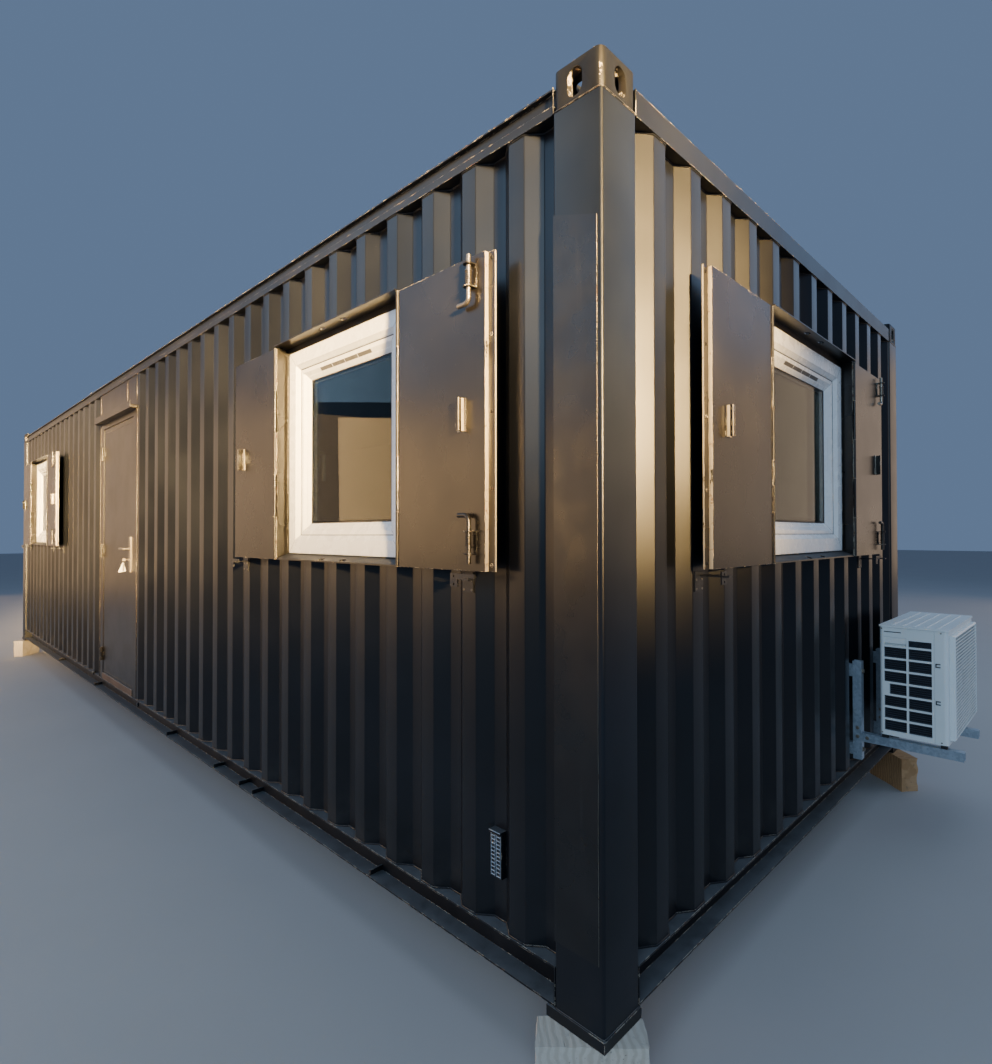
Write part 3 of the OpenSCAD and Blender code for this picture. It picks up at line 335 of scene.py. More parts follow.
def paint(
    name, base, rough=0.30, chips=0.5, dust=0.5, fold=0.002, wave=0.0007, level=0.4, scuff=0.0,
    upward_dust_and_skylight=0.0,
):
    """Black satin paint on steel: dusty low down and chipped on its edges. Upward faces get a pale
    bluish cover that is partly dust and partly painted sky light.
    """
    s = clouded(name, base, 1.7)
    streaks = s.streaks((26, 26, 0.55), 5.0, 0.65)
    s.over(s.remap(streaks, 0.56, 0.82, 0.0, 0.05 * dust), (0.11, 0.11, 0.115))
    height = s.axis(s.place, "Z")
    grime = s.noise(9.0, 6.0, 0.7)
    low_down = s.times(s.remap(height, 0.7, 0.2), s.remap(grime, 0.4, 0.72))
    s.over(s.times(low_down, 0.08 * dust), (0.15, 0.14, 0.125))
    # Upward faces: a pale bluish cover, partly settled dust and partly painted sky light
    up = s.remap(s.axis(s.normal(), "Z"), 0.6, 0.98)
    skylight_and_dust_mask = s.times(up, s.remap(grime, 0.2, 0.6, 0.45, 0.9))
    cover = max(0.7 * dust, upward_dust_and_skylight)
    s.over(s.times(skylight_and_dust_mask, cover), (0.19, 0.20, 0.21))
    patchy = s.noise(23.0, 8.0, 0.72)
    worn = s.remap(patchy, 0.66 - 0.3 * scuff, 0.70 - 0.3 * scuff)
    if scuff == 0.0:
        worn = s.remap(patchy, 0.62 - 0.16 * chips, 0.66 - 0.16 * chips)
        worn = s.times(s.edges(0.0035), worn)
    bare = s.mix(s.remap(s.noise(60.0, 3.0), 0.52, 0.66), BARE, RUST)
    s.over(worn, bare)
    specks = s.remap(s.cells(34.0), 0.035, 0.02)
    rare = s.times(specks, s.remap(s.noise(5.0, 2.0), 0.6, 0.64))
    s.over(s.times(rare, 0.5), (0.36, 0.33, 0.29))
    gloss = s.remap(s.noise(5.0, 4.0, 0.5), 0.3, 0.75, rough - 0.02, rough + 0.03)
    dull = s.plus(s.times(skylight_and_dust_mask, 0.3), s.times(low_down, 0.12))
    gloss = s.plus(gloss, s.plus(dull, s.times(worn, 0.15)))
    normal = s.bump(s.noise(2.4, 1.0), wave, 1.0, s.rounded(fold) if fold else None)
    normal = s.bump(s.noise(420.0, 1.0), 0.00008, 0.4, normal)
    normal = s.bump(s.less(1.0, worn), 0.0004, 0.6, normal)
    return s.finish(gloss, normal, Specular_IOR_Level=level)


def sheet_paint(name, base):
    """The same paint on corrugated sheet, whose folds are in its mesh."""
    s = clouded(name, base, 1.3)
    streaks = s.streaks((30, 30, 0.45), 5.0, 0.65)
    s.over(s.remap(streaks, 0.58, 0.84, 0.0, 0.025), (0.11, 0.11, 0.12))
    height = s.axis(s.place, "Z")
    grime = s.noise(7.0, 6.0, 0.7)
    splash = s.times(s.remap(height, 0.62, 0.3), s.remap(grime, 0.42, 0.74))
    s.over(s.times(splash, 0.07), (0.17, 0.16, 0.145))
    specks = s.remap(s.cells(30.0), 0.032, 0.02)
    rare = s.times(specks, s.remap(s.noise(4.0, 2.0), 0.62, 0.66))
    s.over(s.times(rare, 0.6), (0.40, 0.37, 0.33))
    gloss = s.remap(s.noise(4.0, 4.0, 0.5), 0.3, 0.75, 0.28, 0.34)
    gloss = s.plus(gloss, s.times(splash, 0.2))
    normal = s.bump(s.noise(1.9, 1.0), 0.0010, 1.0)
    normal = s.bump(s.noise(380.0, 1.0), 0.00008, 0.4, normal)
    return s.finish(gloss, normal, Specular_IOR_Level=0.4)


def plastic(name, base, dirt_and_shade_colour, rough, grime):
    """Smooth white plastic or coated sheet with dirt runs, and painted shade in its corners from
    ambient occlusion, mottled with dirt.
    """
    s = Shader(name, base)
    # Ambient occlusion darkens corners and creases: painted shade, mottled with dirt
    occlusion = s.node("AmbientOcclusion", {"Distance": 0.03}, samples=4)
    corner = s.remap(occlusion.outputs["AO"], 0.75, 0.3)
    mottle = s.noise(14.0, 5.0, 0.65)
    darkening = s.times(corner, s.remap(mottle, 0.3, 0.7, 0.3, 1.0))
    s.over(s.remap(s.noise(3.0, 3.0), 0.3, 0.7), scaled(base, 0.95))
    runs = s.remap(s.streaks((40, 40, 1.2), 4.0, 0.6), 0.6, 0.82, 0.0, 0.18)
    s.over(s.times(runs, grime), dirt_and_shade_colour)
    s.over(s.times(darkening, grime), dirt_and_shade_colour)
    gloss = s.remap(mottle, 0.3, 0.7, rough - 0.04, rough + 0.1)
    normal = s.bump(s.noise(260.0, 1.0), 0.00006, 0.4, s.rounded(0.0015))
    return s.finish(gloss, normal, Specular_IOR_Level=0.5)


def zinc(name):
    """Galvanised steel with its spangle and pale bloom."""
    s = Shader(name, (0.38, 0.46, 0.54))
    tone = s.axis(s.cells(95.0, "Color"), "X")
    s.over(tone, (0.52, 0.60, 0.68))
    bloom = s.remap(s.noise(12.0, 6.0, 0.7), 0.6, 0.8)
    s.over(s.times(bloom, 0.35), (0.58, 0.62, 0.66))
    gloss = s.plus(s.remap(tone, 0.0, 1.0, 0.34, 0.44), s.times(bloom, 0.2))
    normal = s.bump(s.noise(150.0, 2.0), 0.00008, 0.4, s.rounded(0.0015))
    return s.finish(gloss, normal, Metallic=0.7)


def brushed(name, base, rough):
    """Bare or plated steel with drawn lines and handling marks."""
    s = Shader(name, base)
    lines = s.streaks((900, 900, 30), 3.0, 0.6)
    s.over(s.remap(s.noise(18.0, 4.0), 0.35, 0.7), scaled(base, 0.8))
    spots = s.remap(s.noise(70.0, 4.0, 0.7), 0.64, 0.7, 0.0, 0.6)
    s.over(spots, scaled(base, 0.25))
    gloss = s.remap(lines, 0.3, 0.7, rough - 0.06, rough + 0.12)
    return s.finish(gloss, s.bump(lines, 0.00005, 0.4), Metallic=0.9)


def bare_steel_and_highlight(name):
    """Bright bare steel with the last of its black paint; its pale cream also stands for painted
    highlight along edges.
    """
    s = Shader(name, (0.56, 0.49, 0.37))
    left = s.remap(s.noise(16.0, 7.0, 0.7, s.stretched((1, 1, 0.4))), 0.60, 0.64)
    marks = s.remap(s.noise(55.0, 4.0, 0.7), 0.60, 0.66)
    s.over(marks, (0.30, 0.20, 0.12))
    s.over(left, (0.015, 0.014, 0.013))
    gloss = s.remap(left, 0.0, 1.0, 0.34, 0.5)
    normal = s.bump(left, 0.0003, 0.6)
    return s.finish(gloss, normal, Metallic=0.35)


def sawn_timber(name, pale, dark, weathered, turn):
    """Solid wood: growth rings about the block's length, saw marks and checks."""
    s = Shader(name, pale)
    along = s.stretched(turn=(0, 0, -turn))
    wander = s.noise(3.0, 3.0, 0.5, along)
    inputs = {
        "Vector": along, "Scale": 15.0, "Distortion": 7.0, "Detail": 3.0, "Detail Scale": 0.9
    }
    rings = s.node("TexWave", inputs, wave_type="RINGS", rings_direction="X")
    grain = s.remap(rings.outputs["Fac"], 0.2, 0.95)
    fibre = s.stretched((9, 160, 160), place=along)
    fine = s.noise(1.0, 5.0, 0.6, fibre)
    s.over(grain, dark)
    s.over(s.remap(fine, 0.35, 0.75, 0.0, 0.45), dark)
    s.over(s.remap(wander, 0.4, 0.7, 0.1, 0.6), weathered)
    splits = s.remap(s.noise(1.0, 2.0, 0.5, fibre), 0.72, 0.78)
    s.over(splits, scaled(dark, 0.15))
    darkening = s.remap(s.noise(22.0, 6.0, 0.7), 0.58, 0.75, 0.0, 0.5)
    s.over(darkening, (0.10, 0.09, 0.08))
    height = s.less(fine, splits)
    return s.finish(0.82, s.bump(height, 0.0015, 0.8), Specular_IOR_Level=0.25)


def board(name, base, joint, pitch):
    """Wall board with a fine stipple and a narrow joint at each pitch."""
    s = Shader(name, base)
    s.over(s.noise(6.0, 4.0, 0.6), scaled(base, 0.94))
    saw = s.math("PINGPONG", s.axis(s.place, "X"), pitch / 2)
    line = s.remap(saw, 0.0035, 0.002)
    s.over(line, joint)
    height = s.less(s.noise(240.0, 2.0), line)
    return s.finish(0.55, s.bump(height, 0.0004, 0.4))


def flooring(name):
    """Sealed boards along the cabin, each with its own tone and grain."""
    s = Shader(name, None)
    s.colour = s.node("TexBrick", {
        "Vector": s.place, "Scale": 1.0, "Mortar Size": 0.002, "Brick Width": 1.2,
        "Row Height": 0.15, "Color1": (0.34, 0.25, 0.17), "Color2": (0.44, 0.33, 0.23),
        "Mortar": (0.08, 0.06, 0.05),
    }).outputs["Color"]
    grain = s.streaks((2.2, 48, 48), 6.0, 0.65)
    s.over(s.remap(grain, 0.4, 0.75, 0.0, 0.5), (0.20, 0.13, 0.08))
    gloss = s.remap(s.noise(9.0, 3.0), 0.3, 0.7, 0.36, 0.55)
    return s.finish(gloss, s.bump(grain, 0.0003, 0.4))


def rubber(name, base=(0.018, 0.018, 0.019), rough=0.62):
    """Matte black rubber or plastic with a grey bloom."""
    s = Shader(name, base)
    s.over(s.remap(s.noise(30.0, 5.0, 0.7), 0.45, 0.75, 0.0, 0.5), scaled(base, 2.5))
    gloss = s.remap(s.noise(60.0, 3.0), 0.3, 0.7, rough - 0.08, rough + 0.1)
    return s.finish(gloss, s.bump(s.noise(500.0, 2.0), 0.0001, 0.4))


def clear_glass(name):
    """Lightly tinted glass."""
    s = Shader(name, (0.50, 0.52, 0.47))
    s.over(s.noise(7.0, 4.0, 0.6), (0.62, 0.64, 0.58))
    return s.finish(0.0, Transmission_Weight=1.0, IOR=1.2)


def sign_film(name):
    """The bare sign plate: dark film with faint smears."""
    s = Shader(name, (0.004, 0.004, 0.0045))
    s.over(s.remap(s.noise(4.0, 5.0, 0.6), 0.35, 0.7), (0.009, 0.009, 0.009))
    smear = s.remap(s.streaks((30, 30, 1.5), 5.0, 0.6), 0.6, 0.8, 0.0, 0.25)
    s.over(smear, (0.06, 0.057, 0.054))
    gloss = s.remap(s.noise(9.0, 4.0), 0.3, 0.7, 0.24, 0.36)
    return s.finish(gloss, s.bump(s.noise(6.0, 2.0), 0.0006, 0.6), Specular_IOR_Level=0.5)


BLACK = (0.0032, 0.0037, 0.0052)
BLUE_BLACK = (0.0028, 0.0038, 0.0062)
BROWN_BLACK = (0.0060, 0.0052, 0.0044)
MAT = {
    "paint": paint("cabin_paint", BLACK, fold=0.0015),
    "sheet": sheet_paint("sheet_paint", BLACK),
    "post_paint": paint("post_paint", BLUE_BLACK, 0.33, 0.35, 0.3, fold=0.0, wave=0.0004),
    "leaf_paint": paint("shutter_paint", BROWN_BLACK, 0.28, 0.7, 0.25, wave=0.0003),
    # The rails take a stronger pale cover on their tops: dust and painted sky light
    "worn": paint("worn_paint", BLACK, 0.38, 0.8, 0.4, upward_dust_and_skylight=0.55),
    "trim_paint": paint("trim_paint", BROWN_BLACK, 0.30, 0.1, 0.3, fold=0.0012, wave=0.0003),
    "strip": paint("hinge_strip_paint", (0.014, 0.012, 0.010), 0.42, 1.5, 0.4),
    "step": paint("step_paint", (0.075, 0.042, 0.025), 0.5, 1.6, 0.9),
    "fitting": paint("fitting_paint", BLACK, 0.50, 0.35, 0.3, fold=0.0, wave=0.0003, level=0.22),
    "scuffed": paint("scuffed_paint", BROWN_BLACK, 0.55, scuff=0.42, fold=0.0),
    "upvc": plastic("white_upvc", (0.86, 0.86, 0.84), (0.20, 0.19, 0.17), 0.24, 0.3),
    "unit": plastic("unit_coating", (0.86, 0.90, 0.89), (0.26, 0.25, 0.22), 0.36, 0.4),
    "lining": board("lining_board", (0.60, 0.60, 0.58), (0.32, 0.32, 0.31), 1.2),
    "floor": flooring("floor_boards"),
    "zinc": zinc("galvanised_steel"),
    "steel": brushed("satin_steel", (0.36, 0.32, 0.26), 0.40),
    "bolt_steel": brushed("bolt_steel", (0.28, 0.245, 0.20), 0.30),
    # A darker copy of bolt_steel for the lower shutter bolts: painted shade
    "shaded_bolt_steel": brushed("shaded_bolt_steel", (0.075, 0.068, 0.060), 0.34),
    "bare_edge_and_highlight": bare_steel_and_highlight("bare_edge_and_highlight"),
    "rubber": rubber("black_rubber"),
    "black_part": rubber("black_part", (0.008, 0.009, 0.012), 0.45),
    "fin": rubber("fin_metal", (0.030, 0.042, 0.062), 0.38),
    "vent_slot_shade": rubber("vent_slot_shade", (0.10, 0.095, 0.085), 0.5),
    "glass": clear_glass("window_glass"),
    "sign": sign_film("sign_film"),
    "pale_timber": sawn_timber(
        "pale_timber", (0.66, 0.60, 0.50), (0.53, 0.46, 0.36), (0.50, 0.47, 0.42), -BLOCK_TURN
    ),
    "warm_timber": sawn_timber(
        "warm_timber", (0.60, 0.36, 0.17), (0.44, 0.24, 0.10), (0.50, 0.32, 0.18), BLOCK_TURN
    ),
}
LEAVES = [f"{window[0]}_shutter_{side}" for window in WINDOWS for side in ("right", "left")]
# Nodes that take another material than "paint"
NODE_MATERIALS = {
    "post_paint": ["roof_sheet"],
    "worn": ["foot_plates", "side_bottom_rails", "end_bottom_rails", "side_top_rails",
             "end_top_rails"],
    "strip": ["fixed_hinges"],
    "step": ["threshold"],
    "leaf_paint": ["window_jambs", *LEAVES],
    "trim_paint": ["window_hoods", "window_sills", "door_leaf", "door_jambs", "door_head",
                   "door_gutter", "over_door_panel"],
    "black_part": ["shutter_catches"],
    "upvc": ["window_frames", "window_sashes"],
    "unit": ["unit_casing", "unit_lid", "unit_grille"],
    "lining": ["wall_lining", "ceiling"],
    "floor": ["floor_deck"],
    "zinc": ["unit_bracket"],
    "steel": ["door_handle"],
    "rubber": ["unit_pads"],
    "glass": ["window_panes"],
    "warm_timber": ["timber_blocks"],
}


def dress_nodes():
    """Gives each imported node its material."""
    chosen = {node: key for key, nodes in NODE_MATERIALS.items() for node in nodes}
    for name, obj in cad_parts.items():
        material = MAT[chosen.get(name, "paint")]
        for slot in obj.material_slots:
            slot.material = material


# Mesh parts


def arc(centre, radius, start, end, steps):
    """Points along an arc, with its angles in degrees."""
    angles = [math.radians(start + (end - start) * k / steps) for k in range(steps + 1)]
    x, y = centre
    return [(x + radius * math.cos(angle), y + radius * math.sin(angle)) for angle in angles]


def circle(radius, sides):
    """Points round a circle about the origin."""
    return arc((0, 0), radius, 0, 360, sides)[:-1]


def upright_to(axis):
    """The turn that takes z to an axis."""
    return Vector(axis).to_track_quat("Z", "Y").to_matrix().to_4x4()


class Solid:
    """Collects simple parts in one space's millimetres and makes them one object."""

    def __init__(self, space):
        self.space = space
        self.mesh = bmesh.new()
        self.materials = []
        self.current = 0

    def use(self, key):
        """The parts that follow take this material."""
        if key not in self.materials:
            self.materials.append(key)
        self.current = self.materials.index(key)
        return self

    def mark(self, verts):
        for face in {face for vert in verts for face in vert.link_faces}:
            face.material_index = self.current

    def face(self, verts):
        """A face on vertices that other faces may share."""
        self.mesh.faces.new(list(verts)).material_index = self.current

    def ring(self, points):
        return [self.mesh.verts.new(point) for point in points]

    def box(self, low, high, soft=0.0):
        low, high = Vector(low), Vector(high)
        place = Matrix.Translation((low + high) / 2) @ Matrix.Diagonal((*(high - low), 1.0))
        made = bmesh.ops.create_cube(self.mesh, size=1.0, matrix=place)["verts"]
        self.mark(made)
        if soft > 0:
            edges = list({edge for vert in made for edge in vert.link_edges})
            bmesh.ops.bevel(
                self.mesh, geom=edges, offset=soft, segments=2, profile=0.5, affect="EDGES"
            )
        return self

    def rod(self, start, end, radius, sides=16):
        start, end = Vector(start), Vector(end)
        place = Matrix.Translation((start + end) / 2) @ upright_to(end - start)
        self.mark(bmesh.ops.create_cone(
            self.mesh, cap_ends=True, segments=sides, radius1=radius, radius2=radius,
            depth=(end - start).length, matrix=place,
        )["verts"])
        return self

    def skin(self, rings, closed=False):
        """Joins rings of as many vertices, with a cap at both ends or round to the first."""
        count = len(rings[0])
        for low, high in zip(rings, rings[1:] + rings[:1] if closed else rings[1:]):
            for k in range(count):
                m = (k + 1) % count
                self.face((low[k], low[m], high[m], high[k]))
        if not closed:
            self.face(reversed(rings[0]))
            self.face(rings[-1])
        return self

    def lathe(self, origin, axis, profile, sides=20):
        """Turns a profile of (distance along the axis, radius) about the axis."""
        place = Matrix.Translation(origin) @ upright_to(axis)
        return self.skin([
            self.ring(place @ Vector((*point, along)) for point in circle(radius, sides))
            for along, radius in profile
        ])

    def tube(self, points, radius, sides=8, closed=False):
        """A round bar along the points."""
        points = [Vector(point) for point in points]
        count = len(points)
        last = (points[1] - points[0]).normalized()
        normal = last.orthogonal().normalized()
        rings = []
        for i, point in enumerate(points):
            before = points[(i - 1) % count] if closed or i else point
            after = points[(i + 1) % count] if closed or i < count - 1 else point
            tangent = (after - before).normalized()
            normal = last.rotation_difference(tangent) @ normal
            across = tangent.cross(normal)
            rings.append(self.ring(
                point + a * normal + b * across for a, b in circle(radius, sides)
            ))
            last = tangent
        return self.skin(rings, closed)

    def prism(self, outline, start, run, u=(1, 0, 0), v=(0, 1, 0)):
        """An outline of (u, v) points, carried from start along run."""
        start, run, u, v = (Vector(item) for item in (start, run, u, v))
        return self.skin([
            self.ring(end + a * u + b * v for a, b in outline) for end in (start, start + run)
        ])

    def sheet(self, front, back, present=None, rim=None):
        """A sheet between two grids of vertices, with a rim round every open edge. Cells that
        aren't present are open. The rim may have its own material."""
        columns, rows = len(front) - 1, len(front[0]) - 1

        def solid(i, j):
            return 0 <= i < columns and 0 <= j < rows and (present is None or present(i, j))

        open_edges = []
        for i in range(columns):
            for j in range(rows):
                if not solid(i, j):
                    continue
                loop = [(i, j), (i + 1, j), (i + 1, j + 1), (i, j + 1)]
                self.face(front[a][b] for a, b in loop)
                self.face(back[a][b] for a, b in reversed(loop))
                beside = ((i, j - 1), (i + 1, j), (i, j + 1), (i - 1, j))
                for start, end, cell in zip(loop, loop[1:] + loop[:1], beside):
                    if not solid(*cell):
                        open_edges.append((start, end))
        if rim:
            self.use(rim)
        for (a, b), (c, d) in open_edges:
            self.face((front[a][b], back[a][b], back[c][d], front[c][d]))

    def add(self, other):
        """Takes in another mesh, which is freed."""
        copies = {vert: self.mesh.verts.new(vert.co) for vert in other.verts}
        for face in other.faces:
            self.face(copies[vert] for vert in face.verts)
        other.free()
        return self

    def screw(self, at, radius, out=(0, -1, 0), kind="pan"):
        """A fastener's head on a surface at a point, standing out along a direction."""
        at, out = Vector(at), Vector(out).normalized()
        if kind == "hex":
            self.rod(at, at + out * radius * 0.22, radius * 1.35, sides=20)
            self.rod(at + out * radius * 0.22, at + out * radius * 1.05, radius, sides=6)
        else:
            high = radius * 0.55
            profile = ((0, 1), (0.5, 0.92), (0.85, 0.62), (1, 0.25), (0.6, 0.2))
            self.lathe(at, out, [(high * z, radius * r) for z, r in profile], 12)
        return self

    def data(self, name):
        """The collected parts as one mesh in the frame's metres."""
        bmesh.ops.transform(self.mesh, matrix=self.space, verts=self.mesh.verts)
        bmesh.ops.recalc_face_normals(self.mesh, faces=self.mesh.faces)
        mesh = bpy.data.meshes.new(name)
        self.mesh.to_mesh(mesh)
        self.mesh.free()
        return mesh

    def object(self, name, body, slot, angle=34.0):
        """The collected parts as an object that moves with a body. Folds over the angle
        stay sharp."""
        mesh = self.data(name)
        mesh.shade_smooth()
        mesh.set_sharp_from_angle(angle=math.radians(angle))
        for key in self.materials:
            mesh.materials.append(MAT[key])
        obj = linked(name, mesh)
        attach(obj, body)
        return obj


# Shell: corrugated sheets, posts, fittings and welds


def sheet_path(side, low, high, proud):
    """The outer line of a wall's corrugated sheet between two places."""
    first, pitch = ribs(side)
    half, foot = RIB_W / 2, RIB_W / 2 + RIB_SLOPE
    folds = []
    for k in range(math.floor((low - first) / pitch), math.ceil((high - first) / pitch) + 1):
        folds += [first + k * pitch + step for step in (-foot, -half, half, foot)]

    def point(s):
        off = abs((s - first + pitch / 2) % pitch - pitch / 2)
        return s, SHEET_SET - proud + SHEET_D * min(1.0, max(0.0, (off - half) / RIB_SLOPE))

    return [point(s) for s in (low, *(fold for fold in folds if low < fold < high), high)]


def left_of(direction):
    """A quarter turn counterclockwise."""
    return Vector((-direction.y, direction.x))


def rounded_line(points, radius):
    """Rounds a line's corners, and gives each of its points with the line's direction."""
    steps = 4
    points = [Vector(point) for point in points]
    ways = [(b - a).normalized() for a, b in zip(points, points[1:])]
    line = [(points[0], ways[0])]
    for i in range(1, len(points) - 1):
        into, out_of = ways[i - 1], ways[i]
        turn = math.atan2(into.cross(out_of), into.dot(out_of))
        run = radius * math.tan(abs(turn) / 2)
        room = min((points[i] - points[i - 1]).length, (points[i + 1] - points[i]).length)
        if abs(turn) < 1e-4 or run > room * 0.45:
            line.append((points[i], (into + out_of).normalized()))
            continue
        side = math.copysign(radius, turn)
        centre = points[i] - into * run + left_of(into) * side
        for k in range(steps + 1):
            way = Matrix.Rotation(turn * k / steps, 2) @ into
            line.append((centre - left_of(way) * side, way))
    line.append((points[-1], ways[-1]))
    return line


def with_stops(line, places):
    """Adds points to a rounded line where it passes some places."""
    near = 0.01
    for place in places:
        for i, ((a, way_a), (b, way_b)) in enumerate(zip(line, line[1:])):
            if a.x + near < place < b.x - near:
                t = (place - a.x) / (b.x - a.x)
                line.insert(i + 1, (a.lerp(b, t), way_a.lerp(way_b, t).normalized()))
                break
    return line


def folded_sheet(name, side, low, high, hole, node):
    """A corrugated sheet with rounded folds, and a hole over a window's whole height."""
    line = rounded_line(sheet_path(side, low, high, 0.0), FOLD_R)
    levels = [WALL_BOTTOM, WALL_TOP]
    if hole:
        line = with_stops(line, hole)
        levels = [WALL_BOTTOM, WINDOW_Z, WINDOW_TOP + SURROUND_T, WALL_TOP]
    part = Solid(wall_space(side)).use("sheet")
    grids = [
        [part.ring((*(point + left_of(way) * depth), z) for z in levels) for point, way in line]
        for depth in (0.0, SHEET_T)
    ]

    def present(i, j):
        middle = (line[i][0].x + line[i + 1][0].x) / 2
        return not (hole and j == 1 and hole[0] < middle < hole[1])

    part.sheet(*grids, present)
    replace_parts(part.object(f"sheet_{name}", "cabin", "dark_paint"), node)


def walls():
    """The sheets of all walls between the posts, with weld beads along foot and head."""
    long_run, end_run = CABIN_L / 2 - POST_L, CABIN_W / 2 - POST_W
    holes = {
        name: (middle - width / 2, middle + width / 2) for name, _, middle, width in WINDOWS
    }
    runs = (
        ("front_near", FRONT, FRAME_RIGHT + JAMB_W, long_run, holes["near"], "front_wall_near"),
        ("front_far", FRONT, -long_run, FRAME_LEFT - JAMB_W, holes["far"], "front_wall_far"),
        ("window_end", NEAR_END, -end_run, end_run, holes["end"], "window_end_wall"),
        ("rear", REAR, -long_run, long_run, None, "rear_wall"),
        ("plain_end", FAR_END, -end_run, end_run, None, "plain_end_wall"),
    )
    for name, side, low, high, hole, node in runs:
        folded_sheet(name, side, low, high, hole, node)
        part = Solid(wall_space(side)).use("paint")
        line = sheet_path(side, low + 1, high - 1, 0.5)
        for z in (WALL_BOTTOM + 1.5, WALL_TOP - 1.5):
            part.tube([(s, d, z) for s, d in line], 3.2, 6)
        part.object(f"sheet_welds_{name}", "cabin", "dark_paint", 60)


def rounded_outline(low, high, radius, steps=5):
    """Corner points of a rectangle, counterclockwise, with rounded corners."""
    x0, y0, x1, y1 = low[0] + radius, low[1] + radius, high[0] - radius, high[1] - radius
    points = []
    for turn, centre in enumerate(((x1, y1), (x0, y1), (x0, y0), (x1, y0))):
        points += arc(centre, radius, 90 * turn, 90 * turn + 90, steps)
    return [b for a, b in zip(points[-1:] + points, points) if math.dist(a, b) > 0.01]


def corners():
    """The frame's space at each corner, mirrored so that the cabin lies at -x and -y."""
    corner = Matrix.Translation((CABIN_L / 2, CABIN_W / 2, 0))
    for x in (1, -1):
        for y in (-1, 1):
            name = ("near" if x > 0 else "far") + ("_front" if y < 0 else "_rear")
            yield name, WHOLE @ Matrix.Diagonal((x, y, 1, 1)) @ corner


def corner_posts():
    """Hollow posts with rounded edges."""
    outer = rounded_outline((-POST_L, -POST_W), (0, 0), 9.0)
    inner = rounded_outline(
        (POST_WALL - POST_L, POST_WALL - POST_W), (-POST_WALL, -POST_WALL), 3.0
    )
    for name, space in corners():
        part = Solid(space).use("post_paint")
        around = ((outer, FOOT_T), (outer, POST_TOP), (inner, POST_TOP), (inner, FOOT_T))
        part.skin([part.ring((*point, z) for point in line) for line, z in around], closed=True)
        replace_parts(part.object(f"post_{name}", "cabin", "dark_paint"), "corner_posts")


def scratch_prism(outline, place, run):
    """A closed prism as an object, for cutting."""
    mesh = Solid(place).prism(outline, (0, 0, 0), (0, 0, run)).data("scratch")
    return linked("scratch", mesh)


def fitting_mesh():
    """A corner casting: hollow, with rounded corners and a hole in each outer face."""
    wall, deep = FITTING_WALL, FITTING_WALL + 4
    slot = rounded_outline((-39.5, -25.5), (39.5, 25.5), 25.5, 10)
    lift = rounded_outline((-56.0, -31.0), (56.0, 31.0), 31.0, 10)
    hollow = rounded_outline((wall - POST_L, wall - POST_W), (-wall, -wall), 6.0)
    whole = rounded_outline((-POST_L, -POST_W), (0, 0), 21.0, 8)
    body = scratch_prism(whole, Matrix.Identity(4), FITTING_H)
    along = Matrix.Rotation(math.pi / 2, 4, "Y")
    across = Matrix.Rotation(math.pi / 2, 4, "Z") @ along
    cutters = [
        scratch_prism(outline, Matrix.Translation(place) @ turn, run)
        for outline, place, turn, run in (
            (hollow, (0, 0, wall / 2), Matrix.Identity(4), FITTING_H - 1.5 * wall),
            (slot, (-wall - 2, SLOT_Y, SLOT_Z), along, deep),
            (slot, (SLOT_X, -wall - 2, SLOT_Z), across, deep),
            (lift, (-POST_L / 2, -POST_W / 2, FITTING_H - wall - 2), Matrix.Identity(4), deep),
        )
    ]
    for cutter in cutters:
        cut = body.modifiers.new("cut", "BOOLEAN")
        cut.object = cutter
        cut.operation = "DIFFERENCE"
        cut.solver = "EXACT"
    soft = body.modifiers.new("soft", "BEVEL")
    soft.width = 2.6
    soft.segments = 2
    soft.limit_method = "ANGLE"
    soft.angle_limit = math.radians(40)
    depsgraph = bpy.context.evaluated_depsgraph_get()
    mesh = bpy.data.meshes.new_from_object(body.evaluated_get(depsgraph))
    for obj in (body, *cutters):
        bpy.data.objects.remove(obj)
    return mesh


def within_wall(place):
    """Whether a place lies in the outer wall of a fitting, clear of its faces."""
    clear = 1.5
    return clear - FITTING_WALL < place < -clear


def corner_fittings():
    """The four castings, scuffed in their holes and on their outer upright edge."""
    mesh = fitting_mesh()
    reach_up, reach_along = 46, 52
    for name, space in corners():
        # Faces take the first material, or the second where they are scuffed
        part = Solid(space @ Matrix.Translation((0, 0, POST_TOP))).use("fitting").use("scuffed")
        part.mesh.from_mesh(mesh)
        for face in part.mesh.faces:
            x, y, z = face.calc_center_median()
            flat = face.normal
            bore = abs(z - SLOT_Z) < reach_up and (
                (within_wall(x) and abs(flat.x) < 0.3 and abs(y - SLOT_Y) < reach_along)
                or (within_wall(y) and abs(flat.y) < 0.3 and abs(x - SLOT_X) < reach_along)
            )
            edge = x > -20 and y > -20 and min(abs(flat.x), abs(flat.y)) > 0.5
            face.material_index = 1 if bore or edge else 0
        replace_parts(part.object(f"fitting_{name}", "cabin", "dark_paint"), "corner_fittings")
    bpy.data.meshes.remove(mesh)


def post_welds():
    """Weld beads where the rails, fittings and foot plates meet the posts."""
    for name, space in corners():
        part = Solid(space).use("worn")
        around = rounded_outline((-POST_L, -POST_W), (0, 0), 10.0, 3)
        for z in (POST_TOP, FOOT_T + 1):
            part.tube([(*point, z) for point in around], 2.6, 6, closed=True)
        for z0, z1, inset, radius in (
            (FOOT_T + 2, WALL_BOTTOM, RAIL_SET, 2.8), (WALL_TOP, RAIL_TOP, RAIL_SET, 2.8),
            (WALL_BOTTOM, WALL_TOP, SHEET_SET + SHEET_D, 3.0),
        ):
            for x, y in ((-POST_L, -inset), (-inset, -POST_W)):
                part.tube([(x, y, z0), (x, y, z1)], radius, 6)
        part.object(f"post_welds_{name}", "cabin", "worn_paint", 60)


